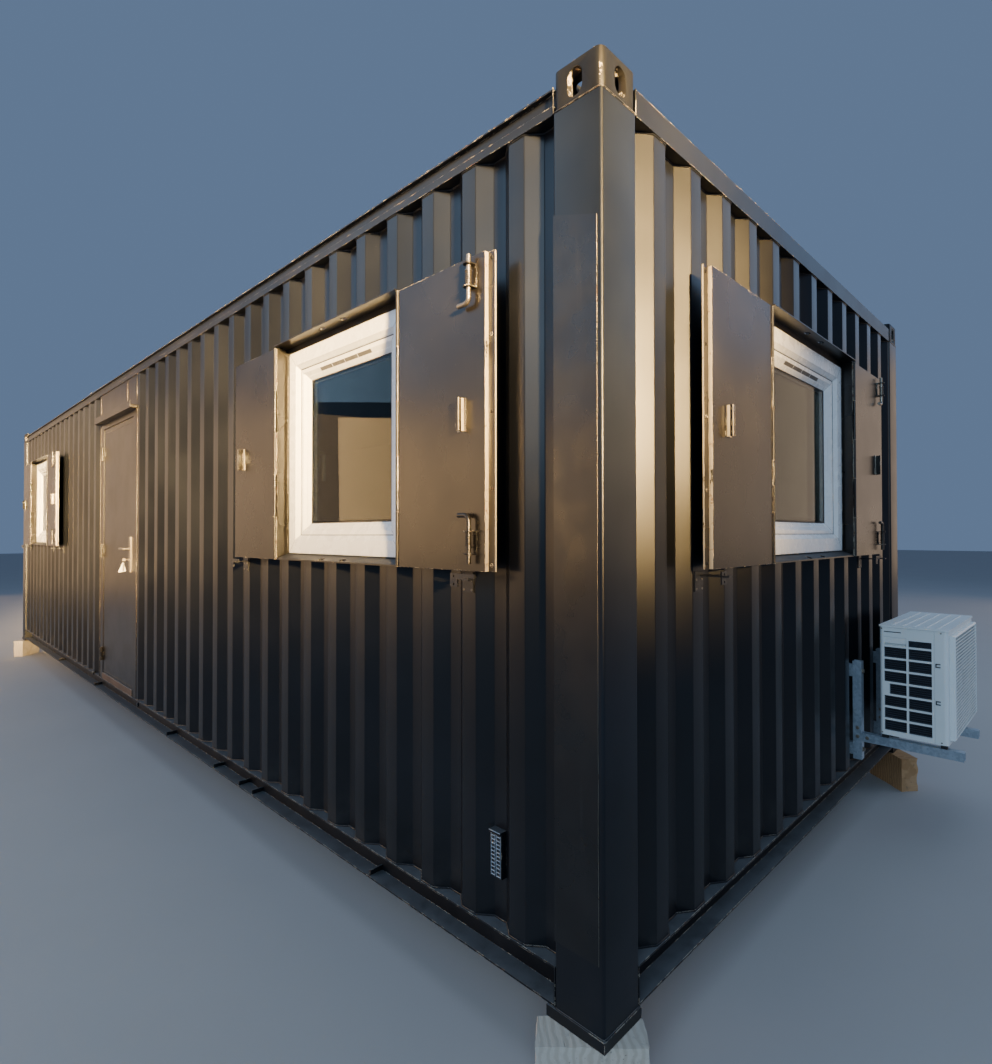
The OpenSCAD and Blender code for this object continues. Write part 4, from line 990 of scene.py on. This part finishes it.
def rail_details():
    """Lugs with a bolt and small gussets on the front rail."""
    part = Solid(wall_space(FRONT)).use("worn")
    for s, z in ((-826.0, 143.0), (477.0, 117.0)):
        part.box((s - 9, RAIL_SET - 7, z - 14), (s + 9, RAIL_SET + 5, z + 14), 1.5)
        part.screw((s, RAIL_SET - 7, z), 5.0, kind="hex")
    for from_corner in (3479.0, 2670.0, 2325.0, 2164.0, 1100.0, 5400.0, 6900.0):
        s = CABIN_L / 2 - from_corner
        part.box((s - 4, RAIL_SET + 3, FOOT_T + 6), (s + 4, RAIL_SET + 60, FOOT_T + 26), 1.0)
    part.object("rail_details", "cabin", "worn_paint")


def sign_plate():
    """A bare plate fixed to the near post's long face, a little sprung at its edge."""
    low_s, wide = CABIN_L / 2 - 166.0, 150.0
    low_z, high_z, slant = 212.0, 2197.0, 47.0
    columns, rows, thick = 10, 90, 1.2
    part = Solid(wall_space(FRONT)).use("sign")

    def place(i, j, depth):
        u, v = i / columns, j / rows
        ripple = noise.noise(Vector((u * 0.8, 0.0, v * 9.0)))
        lift = thick + 2.2 * max(0.0, ripple) * u ** 3
        return low_s + wide * u, depth - lift, low_z + (high_z - slant * u - low_z) * v

    grids = [
        [part.ring(place(i, j, depth) for j in range(rows + 1)) for i in range(columns + 1)]
        for depth in (0.0, thick)
    ]
    # Its rim: bare edge with painted highlight
    part.sheet(*grids, rim="bare_edge_and_highlight")
    part.object("sign_plate", "cabin", "dark_paint", 50)


# Shutters


def coil(centre, rise, radius, turns):
    """The line of an upright spring."""
    x, y, z = centre
    once = circle(radius, 12)
    around = once * turns + once[:1]
    step = rise / (len(around) - 1)
    return [(x + a, y + b, z + step * i) for i, (a, b) in enumerate(around)]


def free_edge(width):
    """The distance from a leaf's hinge line to its free edge."""
    return width / 2 + HINGE_SIDE - LEAF_GAP / 2


def shutter_fittings(window, side):
    """Skins and springs of a leaf's bolts, its pull's bright faces, rivets and worn edges; the
    bright faces and edges are bare steel and painted highlight.
    """
    name, wall, middle, width = window
    leaf = f"{name}_shutter_{'right' if side > 0 else 'left'}"
    part = Solid(leaf_space(wall, middle, width, side)).use("bolt_steel")
    free = free_edge(width)
    bolt_x = free - BOLT_IN
    skin = BOLT_R + 0.35
    # Only the right leaf has bolts
    bolts = ((LEAF_HIGH - 2, -1), (WINDOW_Z + SILL_H - 4, 1)) if side > 0 else ()
    for tip_z, up in bolts:
        # The lower bolt's skin takes a darker copy of the same steel: painted shade
        part.use("bolt_steel" if up < 0 else "shaded_bolt_steel")
        # Plated skin of the bolt, round its bend to the end of the arm
        bend = arc((bolt_x - BOLT_BEND, BOLT_L - BOLT_BEND), BOLT_BEND, 0, 90, 6)
        line = [(bolt_x, -0.3), *bend, (bolt_x - BOLT_BEND - BOLT_ARM - 0.3, BOLT_L)]
        part.tube([(x, -BOLT_UP, tip_z + up * z) for x, z in line], skin, 14)
        # Spring between the guides, with its collar and cross pin
        part.tube(coil((bolt_x, -BOLT_UP, tip_z + up * 50), up * 42, BOLT_R + 2.2, 7), 1.4, 6)
        collar = [(bolt_x, -BOLT_UP, tip_z + up * z) for z in (46, 49)]
        part.rod(*collar, 11)
        pin = [(bolt_x + x, -BOLT_UP, tip_z + up * 43.5) for x in (-12, 12)]
        part.rod(*pin, 1.6, sides=8)
        for dx in (-13.5, 13.5):
            for dz in (37, 87):
                part.screw((bolt_x + dx, -4, tip_z + up * dz), 3.2)
    # Worn bright wing, root and edge of the pull handle: bare steel and painted highlight
    pull_x, over = free - PULL_IN, 0.3
    low, high = PULL_Z - over, PULL_Z + PULL_H + over
    part.use("bare_edge_and_highlight")
    part.box((pull_x - PULL_HALF - over, -PULL_T - 0.5, low), (pull_x - 4.8, -2.7, high), 0.3)
    for y0, y1 in ((-13.5, -2.8), (-PULL_OUT - 0.4, 2.6 - PULL_OUT)):
        part.box((pull_x + 8.8, y0, low), (pull_x + PULL_EDGE + 0.4, y1, high), 0.4)
    part.use("steel")
    for dz in (12, PULL_H - 12):
        part.screw((pull_x - 11, -3.4, PULL_Z + dz), 3.2)
    # Worn bright edges of the leaf and of the strip along it, bare steel and painted highlight, and
    # the strip's rivets
    part.use("bare_edge_and_highlight")
    for edge, y0, y1 in ((free - STRIP_W, 0.4, LEAF_T - STRIP_T), (free, LEAF_T - STRIP_T, LEAF_T)):
        part.box((edge - 0.8, y0, LEAF_LOW + 0.4), (edge + 0.5, y1 - 0.3, LEAF_HIGH - 0.4), 0.3)
    part.use("leaf_paint")
    for steps in (0.1, 1.3, 2.5, 3.7, 4.9):
        z = LEAF_LOW + steps * LEAF_STEP
        part.screw((free - STRIP_W / 2, LEAF_T - STRIP_T, z), 6.5)
    part.object(f"{leaf}_fittings", f"{leaf}_leaf", "dark_paint")


def left_panel(window):
    """The left leaf, which the right one holds shut, so that it has no bolts."""
    name, wall, middle, width = window
    leaf = f"{name}_shutter_left"
    part = Solid(leaf_space(wall, middle, width, -1)).use("leaf_paint")
    free = free_edge(width)
    part.box((LEAF_EDGE, 0, LEAF_LOW), (free - STRIP_W, LEAF_T, LEAF_HIGH))
    part.box((free - STRIP_W - 0.01, LEAF_T - STRIP_T, LEAF_LOW), (free, LEAF_T, LEAF_HIGH))
    # Its two hinge knuckles
    for i in (1, 3):
        z0, z1 = LEAF_LOW + i * LEAF_STEP + 0.15, LEAF_LOW + (i + 1) * LEAF_STEP - 0.15
        part.rod((0, 0, z0), (0, 0, z1), 6.0, sides=24)
        part.box((0, 0, z0), (LEAF_EDGE + 1, 3, z1))
    # The pull: a plate, an upright on it and a lip along the upright's edge
    x, high = free - PULL_IN, PULL_Z + PULL_H
    part.box((x - PULL_HALF, -PULL_T, PULL_Z), (x + PULL_HALF, 0, high), 0.6)
    part.box((x + 6, -PULL_OUT, PULL_Z), (x + PULL_EDGE, -2, high), 0.6)
    part.box((x - 4, -PULL_OUT, PULL_Z), (x + PULL_EDGE, -19, high), 0.6)
    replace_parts(part.object(f"{leaf}_panel", f"{leaf}_leaf", "dark_paint"), leaf)


def shutters():
    """New left leaves, and the fittings of all six leaves."""
    for window in WINDOWS:
        left_panel(window)
        for side in (-1, 1):
            shutter_fittings(window, side)


# Windows


def ring_of_bars(part, frame_w, frame_h, inset, depth, size, thick, soft=0.4):
    """Four bars round a window, their outer sides a distance in from the frame's edge."""
    x, z0, z1 = frame_w / 2 - inset, inset, frame_h - inset
    for low, high in (
        ((-x, depth, z0), (x, depth + thick, z0 + size)),
        ((-x, depth, z1 - size), (x, depth + thick, z1)),
        ((-x, depth, z0 + size), (-x + size, depth + thick, z1 - size)),
        ((x - size, depth, z0 + size), (x, depth + thick, z1 - size)),
    ):
        part.box(low, high, soft)


def window_details(window):
    """Gaskets, mitre lines, the vent slot and the double glass of one window."""
    name, wall, middle, width = window
    space = wall_space(wall) @ Matrix.Translation((middle, 0, WINDOW_Z + SILL_H))
    frame_w = width - 2 * (SURROUND_T + PACKING_W + FRAME_GAP)
    frame_h = WINDOW_H - SILL_H - PACKING_H - FRAME_GAP
    pane_in = FRAME_FACE + SASH_FACE
    # Black gaskets between the frame and the sash, and round the glass
    part = Solid(space).use("rubber")
    ring_of_bars(part, frame_w, frame_h, FRAME_FACE - 0.6, 2.0, 3.4, 4.0)
    ring_of_bars(part, frame_w, frame_h, pane_in, PANE_Y - 1.6, 3.5, 1.9)
    # Mitre lines of the welded corners
    for x in (-1, 1):
        for top in (False, True):
            for line, start in ((FRAME_LINE, 0.0), (SASH_LINE, FRAME_FACE)):
                part.tube([
                    (x * (frame_w / 2 - start - a), y, frame_h - start - a if top else start + a)
                    for a, y in line
                ], 0.5, 6)
    part.object(f"{name}_window_gaskets", "cabin", "pad_rubber")

    # Vent slot on the slope of the sash's head: a dark grey strip painted as the shade in its
    # slots, between white ribs
    part = Solid(space).use("vent_slot_shade")
    (a0, y0), (a1, y1) = SASH_LINE[1:3]
    slope = Vector((a1 - a0, y1 - y0)).normalized()
    start, proud = Vector((a0, y0)) + slope * 1.5, left_of(slope) * -0.6
    outline = [start + proud, start + slope * 15 + proud, start + slope * 15, start]
    rib = [point + proud * 0.7 for point in outline[:2]] + outline[2:]
    head, half = frame_h - FRAME_FACE, 195
    part.prism(outline, (-half, 0, head), (2 * half, 0, 0), (0, 0, -1), (0, 1, 0))
    part.use("upvc")
    for x in (-half - 1.5, -98, 0, 98, half + 1.5):
        part.prism(rib, (x - 1.5, 0, head), (3, 0, 0), (0, 0, -1), (0, 1, 0))
    part.object(f"{name}_window_fittings", "cabin", "white_frame")

    # Two glass sheets with a spacer bar between them
    part = Solid(space).use("glass")
    x, z0, z1 = frame_w / 2 - pane_in, pane_in, frame_h - pane_in
    for depth in (PANE_Y, PANE_Y + PANE_T - GLASS_T):
        part.box((-x, depth, z0), (x, depth + GLASS_T, z1))
    part.use("zinc")
    ring_of_bars(
        part, frame_w, frame_h, pane_in, PANE_Y + GLASS_T, 10.0, PANE_T - 2 * GLASS_T, 0.0
    )
    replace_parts(part.object(f"{name}_double_glazing", "cabin", "window_glass"), "window_panes")


def windows():
    """The details of all three windows."""
    for window in WINDOWS:
        window_details(window)


def catch_screws():
    """Screws in the base plates of the shutter catches."""
    for name, wall, middle, width in WINDOWS:
        part = Solid(wall_space(wall)).use("bolt_steel")
        first, pitch = ribs(wall)
        for side in (-1, 1):
            bolt_s = middle + side * (width + 2 * HINGE_SIDE - LEAF_GAP / 2 - BOLT_IN)
            s = first + round((bolt_s - first) / pitch) * pitch
            for dx in (-18, 18):
                for dz in (-56, -26):
                    part.screw((s + dx, SHEET_SET - 5, CATCH_Z + dz), 4.0)
        part.object(f"{name}_catch_screws", "cabin", "worn_paint")


# Entrance door


def door_details():
    """Screws, keyhole, drip lips and keys of the entrance door."""
    part = Solid(wall_space(FRONT)).use("bolt_steel")
    handle_s = DOOR_S + DOOR_W / 2 - HANDLE_IN
    for out, face in ((-1, DOOR_SET), (1, DOOR_SET + DOOR_T)):
        for dz in (-158, 76):
            part.screw((handle_s, face + out * 8, LEVER_Z + dz), 4.0, (0, out, 0))
    part.use("black_part")
    # Keyhole in the cylinder: a black slot painted as the shade in the hole
    lock_y, lock_z = DOOR_SET - 20, LEVER_Z - 78
    low = (handle_s - 1.2, lock_y - 0.6, lock_z - 6)
    part.box(low, (handle_s + 1.2, lock_y + 0.2, lock_z + 5))
    # Screws in the hinge flaps
    part.use("bolt_steel")
    hinge_s = DOOR_S - DOOR_W / 2 - 2.5
    for z in (DOOR_Z + 150, DOOR_Z + DOOR_H / 2, DOOR_Z + DOOR_H - 200):
        for dz in (-10, 10):
            part.screw((hinge_s + 22, DOOR_SET - 3, z + dz), 4.2)
    # Drip lips at the head and the foot of the leaf
    part.use("leaf_paint")
    s0, s1 = DOOR_S - DOOR_W / 2, DOOR_S + DOOR_W / 2
    top = DOOR_Z + DOOR_H
    for z in (top - 34, top - 7, DOOR_Z + 12):
        part.box((s0 + 1, DOOR_SET - 1.6, z), (s1 - 1, DOOR_SET, z + 3), 0.6)
    part.object("door_details", "door", "dark_paint")

    # Keys with a tag hang from the lock
    part = Solid(wall_space(FRONT)).use("steel")
    part.box((handle_s - 1.1, lock_y - 14, lock_z - 4), (handle_s + 1.1, lock_y, lock_z + 4), 0.4)
    bow = [(0, 3.5), (0, 11), (2.6, 11), (2.6, 3.5)]
    part.lathe((handle_s - 1.3, lock_y - 22, lock_z), (1, 0, 0), bow)
    part.tube([
        (handle_s + 2 * b, lock_y - 25 + 12 * a, lock_z - 14 + 13 * b) for a, b in circle(1, 18)
    ], 0.9, 6, closed=True)
    fob = (handle_s + 3, lock_y - 32, lock_z - 82)
    part.box(fob, (handle_s + 6, lock_y - 22, lock_z - 28), 0.5)
    part.use("upvc")
    tag = [(0, 0), (-9, 0), (-36, -62), (-31, -68), (10, -62), (12, -55)]
    part.prism(tag, (handle_s - 4, lock_y - 22, lock_z - 24), (2.6, 0, 0), (0, 1, 0), (0, 0, 1))
    part.object("door_keys", "door", "handle_steel")


def entrance_trim():
    """Gutter ends, cover strips, the seal and the step's treads round the door."""
    part = Solid(wall_space(FRONT)).use("leaf_paint")
    left, right = FRAME_LEFT - JAMB_W, FRAME_RIGHT + JAMB_W
    gutter_top = DOOR_HEAD_TOP + GUTTER_H
    # Closed ends of the rain gutter
    for s in (left, right - 3):
        part.box((s, SHEET_SET - 47, DOOR_HEAD_TOP), (s + 3, SHEET_SET, DOOR_HEAD_TOP + 22), 0.6)
    # Joint of the panel over the door, and the strips beside it
    part.box((142, SHEET_SET - 2.0, gutter_top + 4), (147, SHEET_SET, WALL_TOP - 1), 0.8)
    for s in (left + 4, right - 16):
        part.box((s, SHEET_SET - 2.2, gutter_top + 4), (s + 12, SHEET_SET, WALL_TOP - 1), 0.8)
    # Flat bars that cover the joints beside the frame, chipped along their edges
    part.use("strip")
    for s in (left - 6, right - 8):
        part.box((s, SHEET_SET - 3.0, WALL_BOTTOM + 2), (s + 14, SHEET_SET, DOOR_HEAD_TOP), 1.0)
    # Seal against the leaf on the frame's stops
    part.use("rubber")
    seal_y = DOOR_SET + DOOR_T + 2.4
    for s in (FRAME_LEFT + 7, FRAME_RIGHT - 7):
        part.rod((s, seal_y, DOOR_Z + 4), (s, seal_y, DOOR_Z + DOOR_H - 4), 2.2, sides=10)
    part.use("step")
    for k in range(7):
        y = RAIL_SET + 8 + k * 8
        part.box((FRAME_LEFT + 20, y, 186), (FRAME_RIGHT - 20, y + 3.2, 187.2), 0.4)
    part.object("entrance_trim", "cabin", "dark_paint")


def vent_bars():
    """Bright louvre edges of the wall vent."""
    middle = LONG_RIB - LONG_PITCH / 2
    part = Solid(wall_space(FRONT) @ Matrix.Translation((middle, SHEET_SET + SHEET_D - 20, 276)))
    part.use("zinc")
    louvres, opening_h = 12, 142
    for k in range(louvres):
        z = (k + 0.5) * opening_h / louvres
        for x in (-20, 3):
            part.box((x, -1.2, z - 1.6), (x + 17, 0.6, z + 1.6), 0.5)
    for x in (-20, -3, 3, 20):
        part.box((x - 0.9, -1.6, 3), (x + 0.9, 0.4, 136), 0.3)
    part.box((-25, -6.8, opening_h - 2.5), (25, -5.8, opening_h), 0.4)
    part.object("vent_bars", "cabin", "zinc_steel")


# Cooling unit


def side_fins(space):
    """Heat exchanger fins behind the side openings, one of which is narrower."""
    part = Solid(space)
    opening_w = (UNIT_D - 22 - UNIT_STRIP - UNIT_GAP) / 2
    opening_h = (UNIT_H - 52 - UNIT_ROWS * UNIT_GAP) / UNIT_ROWS
    top_row = UNIT_ROWS - 1
    for row in range(UNIT_ROWS):
        for column in (0, 1):
            if (row, column) == (top_row, 1):
                continue
            wide = opening_w * (0.76 if (row, column) == (3, 1) else 1.0)
            high = opening_h * (0.6 if row == top_row else 1.0)
            s = UNIT_S + 11
            y = UNIT_FRONT + UNIT_STRIP + column * (opening_w + UNIT_GAP)
            z = UNIT_Z + 24 + row * (opening_h + UNIT_GAP)
            # A black plate behind each opening: painted shade inside the unit
            part.use("black_part")
            part.box((s, y + 0.3, z + 0.3), (s + 1.2, y + wide - 0.3, z + high - 0.3))
            part.use("fin")
            for k in range(5):
                fin = z + high * (k + 0.5) / 5
                part.box((s - 4, y + 0.5, fin - 1.0), (s + 0.2, y + wide - 0.5, fin + 1.0))
    part.object("unit_side_fins", "cabin", "unit_white", 20)


def fan(space):
    """The fan behind the front grille, on a dark disc that is painted shade inside the unit."""
    part = Solid(space).use("black_part")
    fan_s, fan_z, fan_r = UNIT_S + UNIT_W * 0.44, UNIT_Z + UNIT_H / 2, 205.0
    shade_disc, hub = [(0, fan_r + 14), (1.5, fan_r + 14)], [(0, 58), (9, 56), (13, 48), (14, 20)]
    part.lathe((fan_s, UNIT_FRONT + 0.5, fan_z), (0, -1, 0), shade_disc, 64)
    part.use("fin").lathe((fan_s, UNIT_FRONT - 1.0, fan_z), (0, -1, 0), hub, 32)
    blades, steps = 3, 9
    for blade in range(blades):
        rings = []
        for t in (i / steps for i in range(steps + 1)):
            r = 50 + (fan_r - 54) * t
            middle = 2 * math.pi * blade / blades + 0.5 * t
            half, pitch = 0.52 - 0.12 * t, 5.0 - 1.5 * t
            outline = []
            for sign, off in ((-1, 0), (1, 0), (1, 1.4), (-1, 1.4)):
                angle = middle + sign * half
                y = UNIT_FRONT - 7.5 - sign * pitch + off
                outline.append((fan_s + r * math.cos(angle), y, fan_z + r * math.sin(angle)))
            rings.append(part.ring(outline))
        part.skin(rings)
    part.object("unit_fan", "cabin", "unit_white")


def unit_trim(space):
    """Clips, the grip's shadow line and screws."""
    part = Solid(space).use("black_part")
    clip_y = UNIT_FRONT + 50
    for z in (UNIT_Z + UNIT_H * 0.35, UNIT_Z + UNIT_H * 0.68):
        for dz in (0, 14):
            part.box((UNIT_S - 4, clip_y - 20, z + dz), (UNIT_S, clip_y, z + dz + 4), 1.2)
        part.box((UNIT_S - 4, clip_y - 4, z), (UNIT_S, clip_y, z + 18), 1.2)
    top = UNIT_Z + UNIT_H
    part.box((UNIT_S - 0.6, UNIT_BACK - 96, top - 24), (UNIT_S + 0.2, UNIT_BACK - 22, top - 20))
    part.use("bolt_steel")
    for y in (UNIT_FRONT + 28, UNIT_BACK - 12):
        for z in (UNIT_Z + 10, top - 8):
            part.screw((UNIT_S, y, z), 3.6, (-1, 0, 0))
            part.screw((UNIT_S + UNIT_W, y, z), 3.6, (1, 0, 0))
    part.object("unit_trim", "cabin", "unit_white")


def bracket_fittings(space):
    """Bolts of the bracket."""
    part = Solid(space).use("steel")
    for s in ARMS:
        for z in (222, 618):
            part.screw((s, SHEET_SET - ARM_W, z), 9, kind="hex")
        for y in (UNIT_FRONT + 21, UNIT_BACK - 21):
            part.screw((s, y, ARM_Z - 3), 7, (0, 0, -1), "hex")
        for side in (-1, 1):
            face = s + side * ARM_W / 2
            for y, z in ((-14, ARM_Z - 20), (-14, ARM_Z + 24), (-58, ARM_Z - 20)):
                part.screw((face, y, z), 6.5, (side, 0, 0), "hex")
    part.object("bracket_fittings", "cabin", "zinc_steel")


def unit_details():
    """Everything that the cooling unit and its bracket get."""
    space = wall_space(NEAR_END)
    for build in (side_fins, fan, unit_trim, bracket_fittings):
        build(space)


# Timber blocks with worn corners


def worn_block(length, width, height, shift):
    """A sawn block with its foot at z = 0: bruised edges and hollows, flat foot and top."""
    outside = 0.98
    block = bmesh.new()
    place = Matrix.Translation((0, 0, height / 2)) @ Matrix.Diagonal((length, width, height, 1))
    bmesh.ops.create_cube(block, size=1.0, matrix=place)
    bmesh.ops.subdivide_edges(block, edges=block.edges[:], cuts=11, use_grid_fill=True)
    for vert in block.verts:
        x, y = abs(vert.co.x) / length * 2, abs(vert.co.y) / width * 2
        z = abs(vert.co.z / height - 0.5) * 2
        on_edge = sorted((x, y, z))[1] > outside
        bruise = max(0.0, noise.fractal(vert.co * 0.016 + shift, 0.8, 2.1, 4) + 0.15)
        depth = bruise * (7.0 if on_edge else 1.6)
        vert.co.x -= math.copysign(depth, vert.co.x) if x > outside else 0.0
        vert.co.y -= math.copysign(depth, vert.co.y) if y > outside else 0.0
    return block


def timber_blocks():
    """The four blocks, turned as in the photograph."""
    rng = random.Random(7)
    part = Solid(Matrix.Scale(0.001, 4))
    for side_x in (-1, 1):
        for side_y, key, inset in ((-1, "pale_timber", (68, 33)), (1, "warm_timber", (14, 108))):
            shift = Vector((rng.random(), rng.random(), rng.random())) * 50
            block = worn_block(BLOCK_L, BLOCK_W, BLOCK_H, shift)
            place = (
                Matrix.Translation((-MID_X, -MID_Y, 0))
                @ Matrix.Diagonal((side_x, side_y, 1, 1))
                @ Matrix.Translation((CABIN_L / 2 - inset[0], CABIN_W / 2 - inset[1], 0))
                @ Matrix.Rotation(-BLOCK_TURN, 4, "Z")
            )
            bmesh.ops.transform(block, matrix=place, verts=block.verts)
            part.use(key).add(block)
    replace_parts(part.object("sawn_blocks", "cabin", "rough_timber", 40), "timber_blocks")


# Studio


def studio():
    """A soft blue sky and a wide grey floor."""
    world = bpy.data.worlds.new("studio")
    world.use_nodes = True
    back = world.node_tree.nodes["Background"]
    back.inputs["Color"].default_value = (0.40, 0.60, 1.0, 1)
    back.inputs["Strength"].default_value = 0.30
    bpy.context.scene.world = world

    mesh = bpy.data.meshes.new("floor")
    reach = 60.0
    corners = [(-reach, -reach, 0), (reach, -reach, 0), (reach, reach, 0), (-reach, reach, 0)]
    mesh.from_pydata(corners, [], [(0, 1, 2, 3)])
    floor = linked("floor", mesh)
    s = Shader("floor", (0.41, 0.40, 0.39))
    s.over(s.noise(1.2, 3.0), (0.45, 0.44, 0.43))
    mesh.materials.append(s.finish(0.9, Specular_IOR_Level=0.2))


def area_light(name, place, target, size, watts, colour, spread=180.0):
    data = bpy.data.lights.new(name, "AREA")
    data.shape = "RECTANGLE"
    data.size, data.size_y = size
    data.energy = watts
    data.color = colour
    data.spread = math.radians(spread)
    light = linked(name, data)
    light.location = place
    light.rotation_euler = (Vector(target) - Vector(place)).to_track_quat("-Z", "Y").to_euler()
    light.visible_camera = False


def lights():
    """A low warm beam along the front, panels that the paint mirrors, and soft fills."""
    for light in (
        ("low_beam", (14.7, -7.4, 5.6), (3.5, -3.0, 4.05), (5, 4.6), 1500, (1.0, 0.64, 0.24), 7),
        ("front_warm", (-5.7, -10.2, 2.5), (3.4, -1.5, 1.8), (7, 3.6), 360, (1.0, 0.62, 0.28)),
        ("front_sky", (-6.5, -11.5, 9.0), (3.4, -1.5, 2.2), (11, 8), 460, (0.44, 0.68, 1.0)),
        ("far_warm", (-13.0, -6.3, 2.6), (0, -1.5, 1.5), (11, 5), 170, (1.0, 0.60, 0.24)),
        ("end_warm", (11, 11, 3.0), (4.4, -1.0, 1.6), (14, 5), 205, (1.0, 0.68, 0.36)),
        ("end_sky", (11.5, 11.5, 9.5), (4.4, -1.0, 1.8), (15, 7), 330, (0.46, 0.66, 1.0)),
        ("camera_fill", (9.5, -10, 6), (3.5, -1, 1.2), (8, 6), 560, (0.55, 0.77, 1.0)),
        ("top_soft", (0, 0, 9), (0, 0, 0), (14, 8), 300, (0.66, 0.82, 1.0)),
    ):
        area_light(*light)


for build in (
    make_camera, dress_nodes, walls, corner_posts, corner_fittings, post_welds, rail_details,
    sign_plate, shutters, windows, catch_screws, door_details, entrance_trim, vent_bars,
    unit_details, timber_blocks, studio, lights,
):
    build()
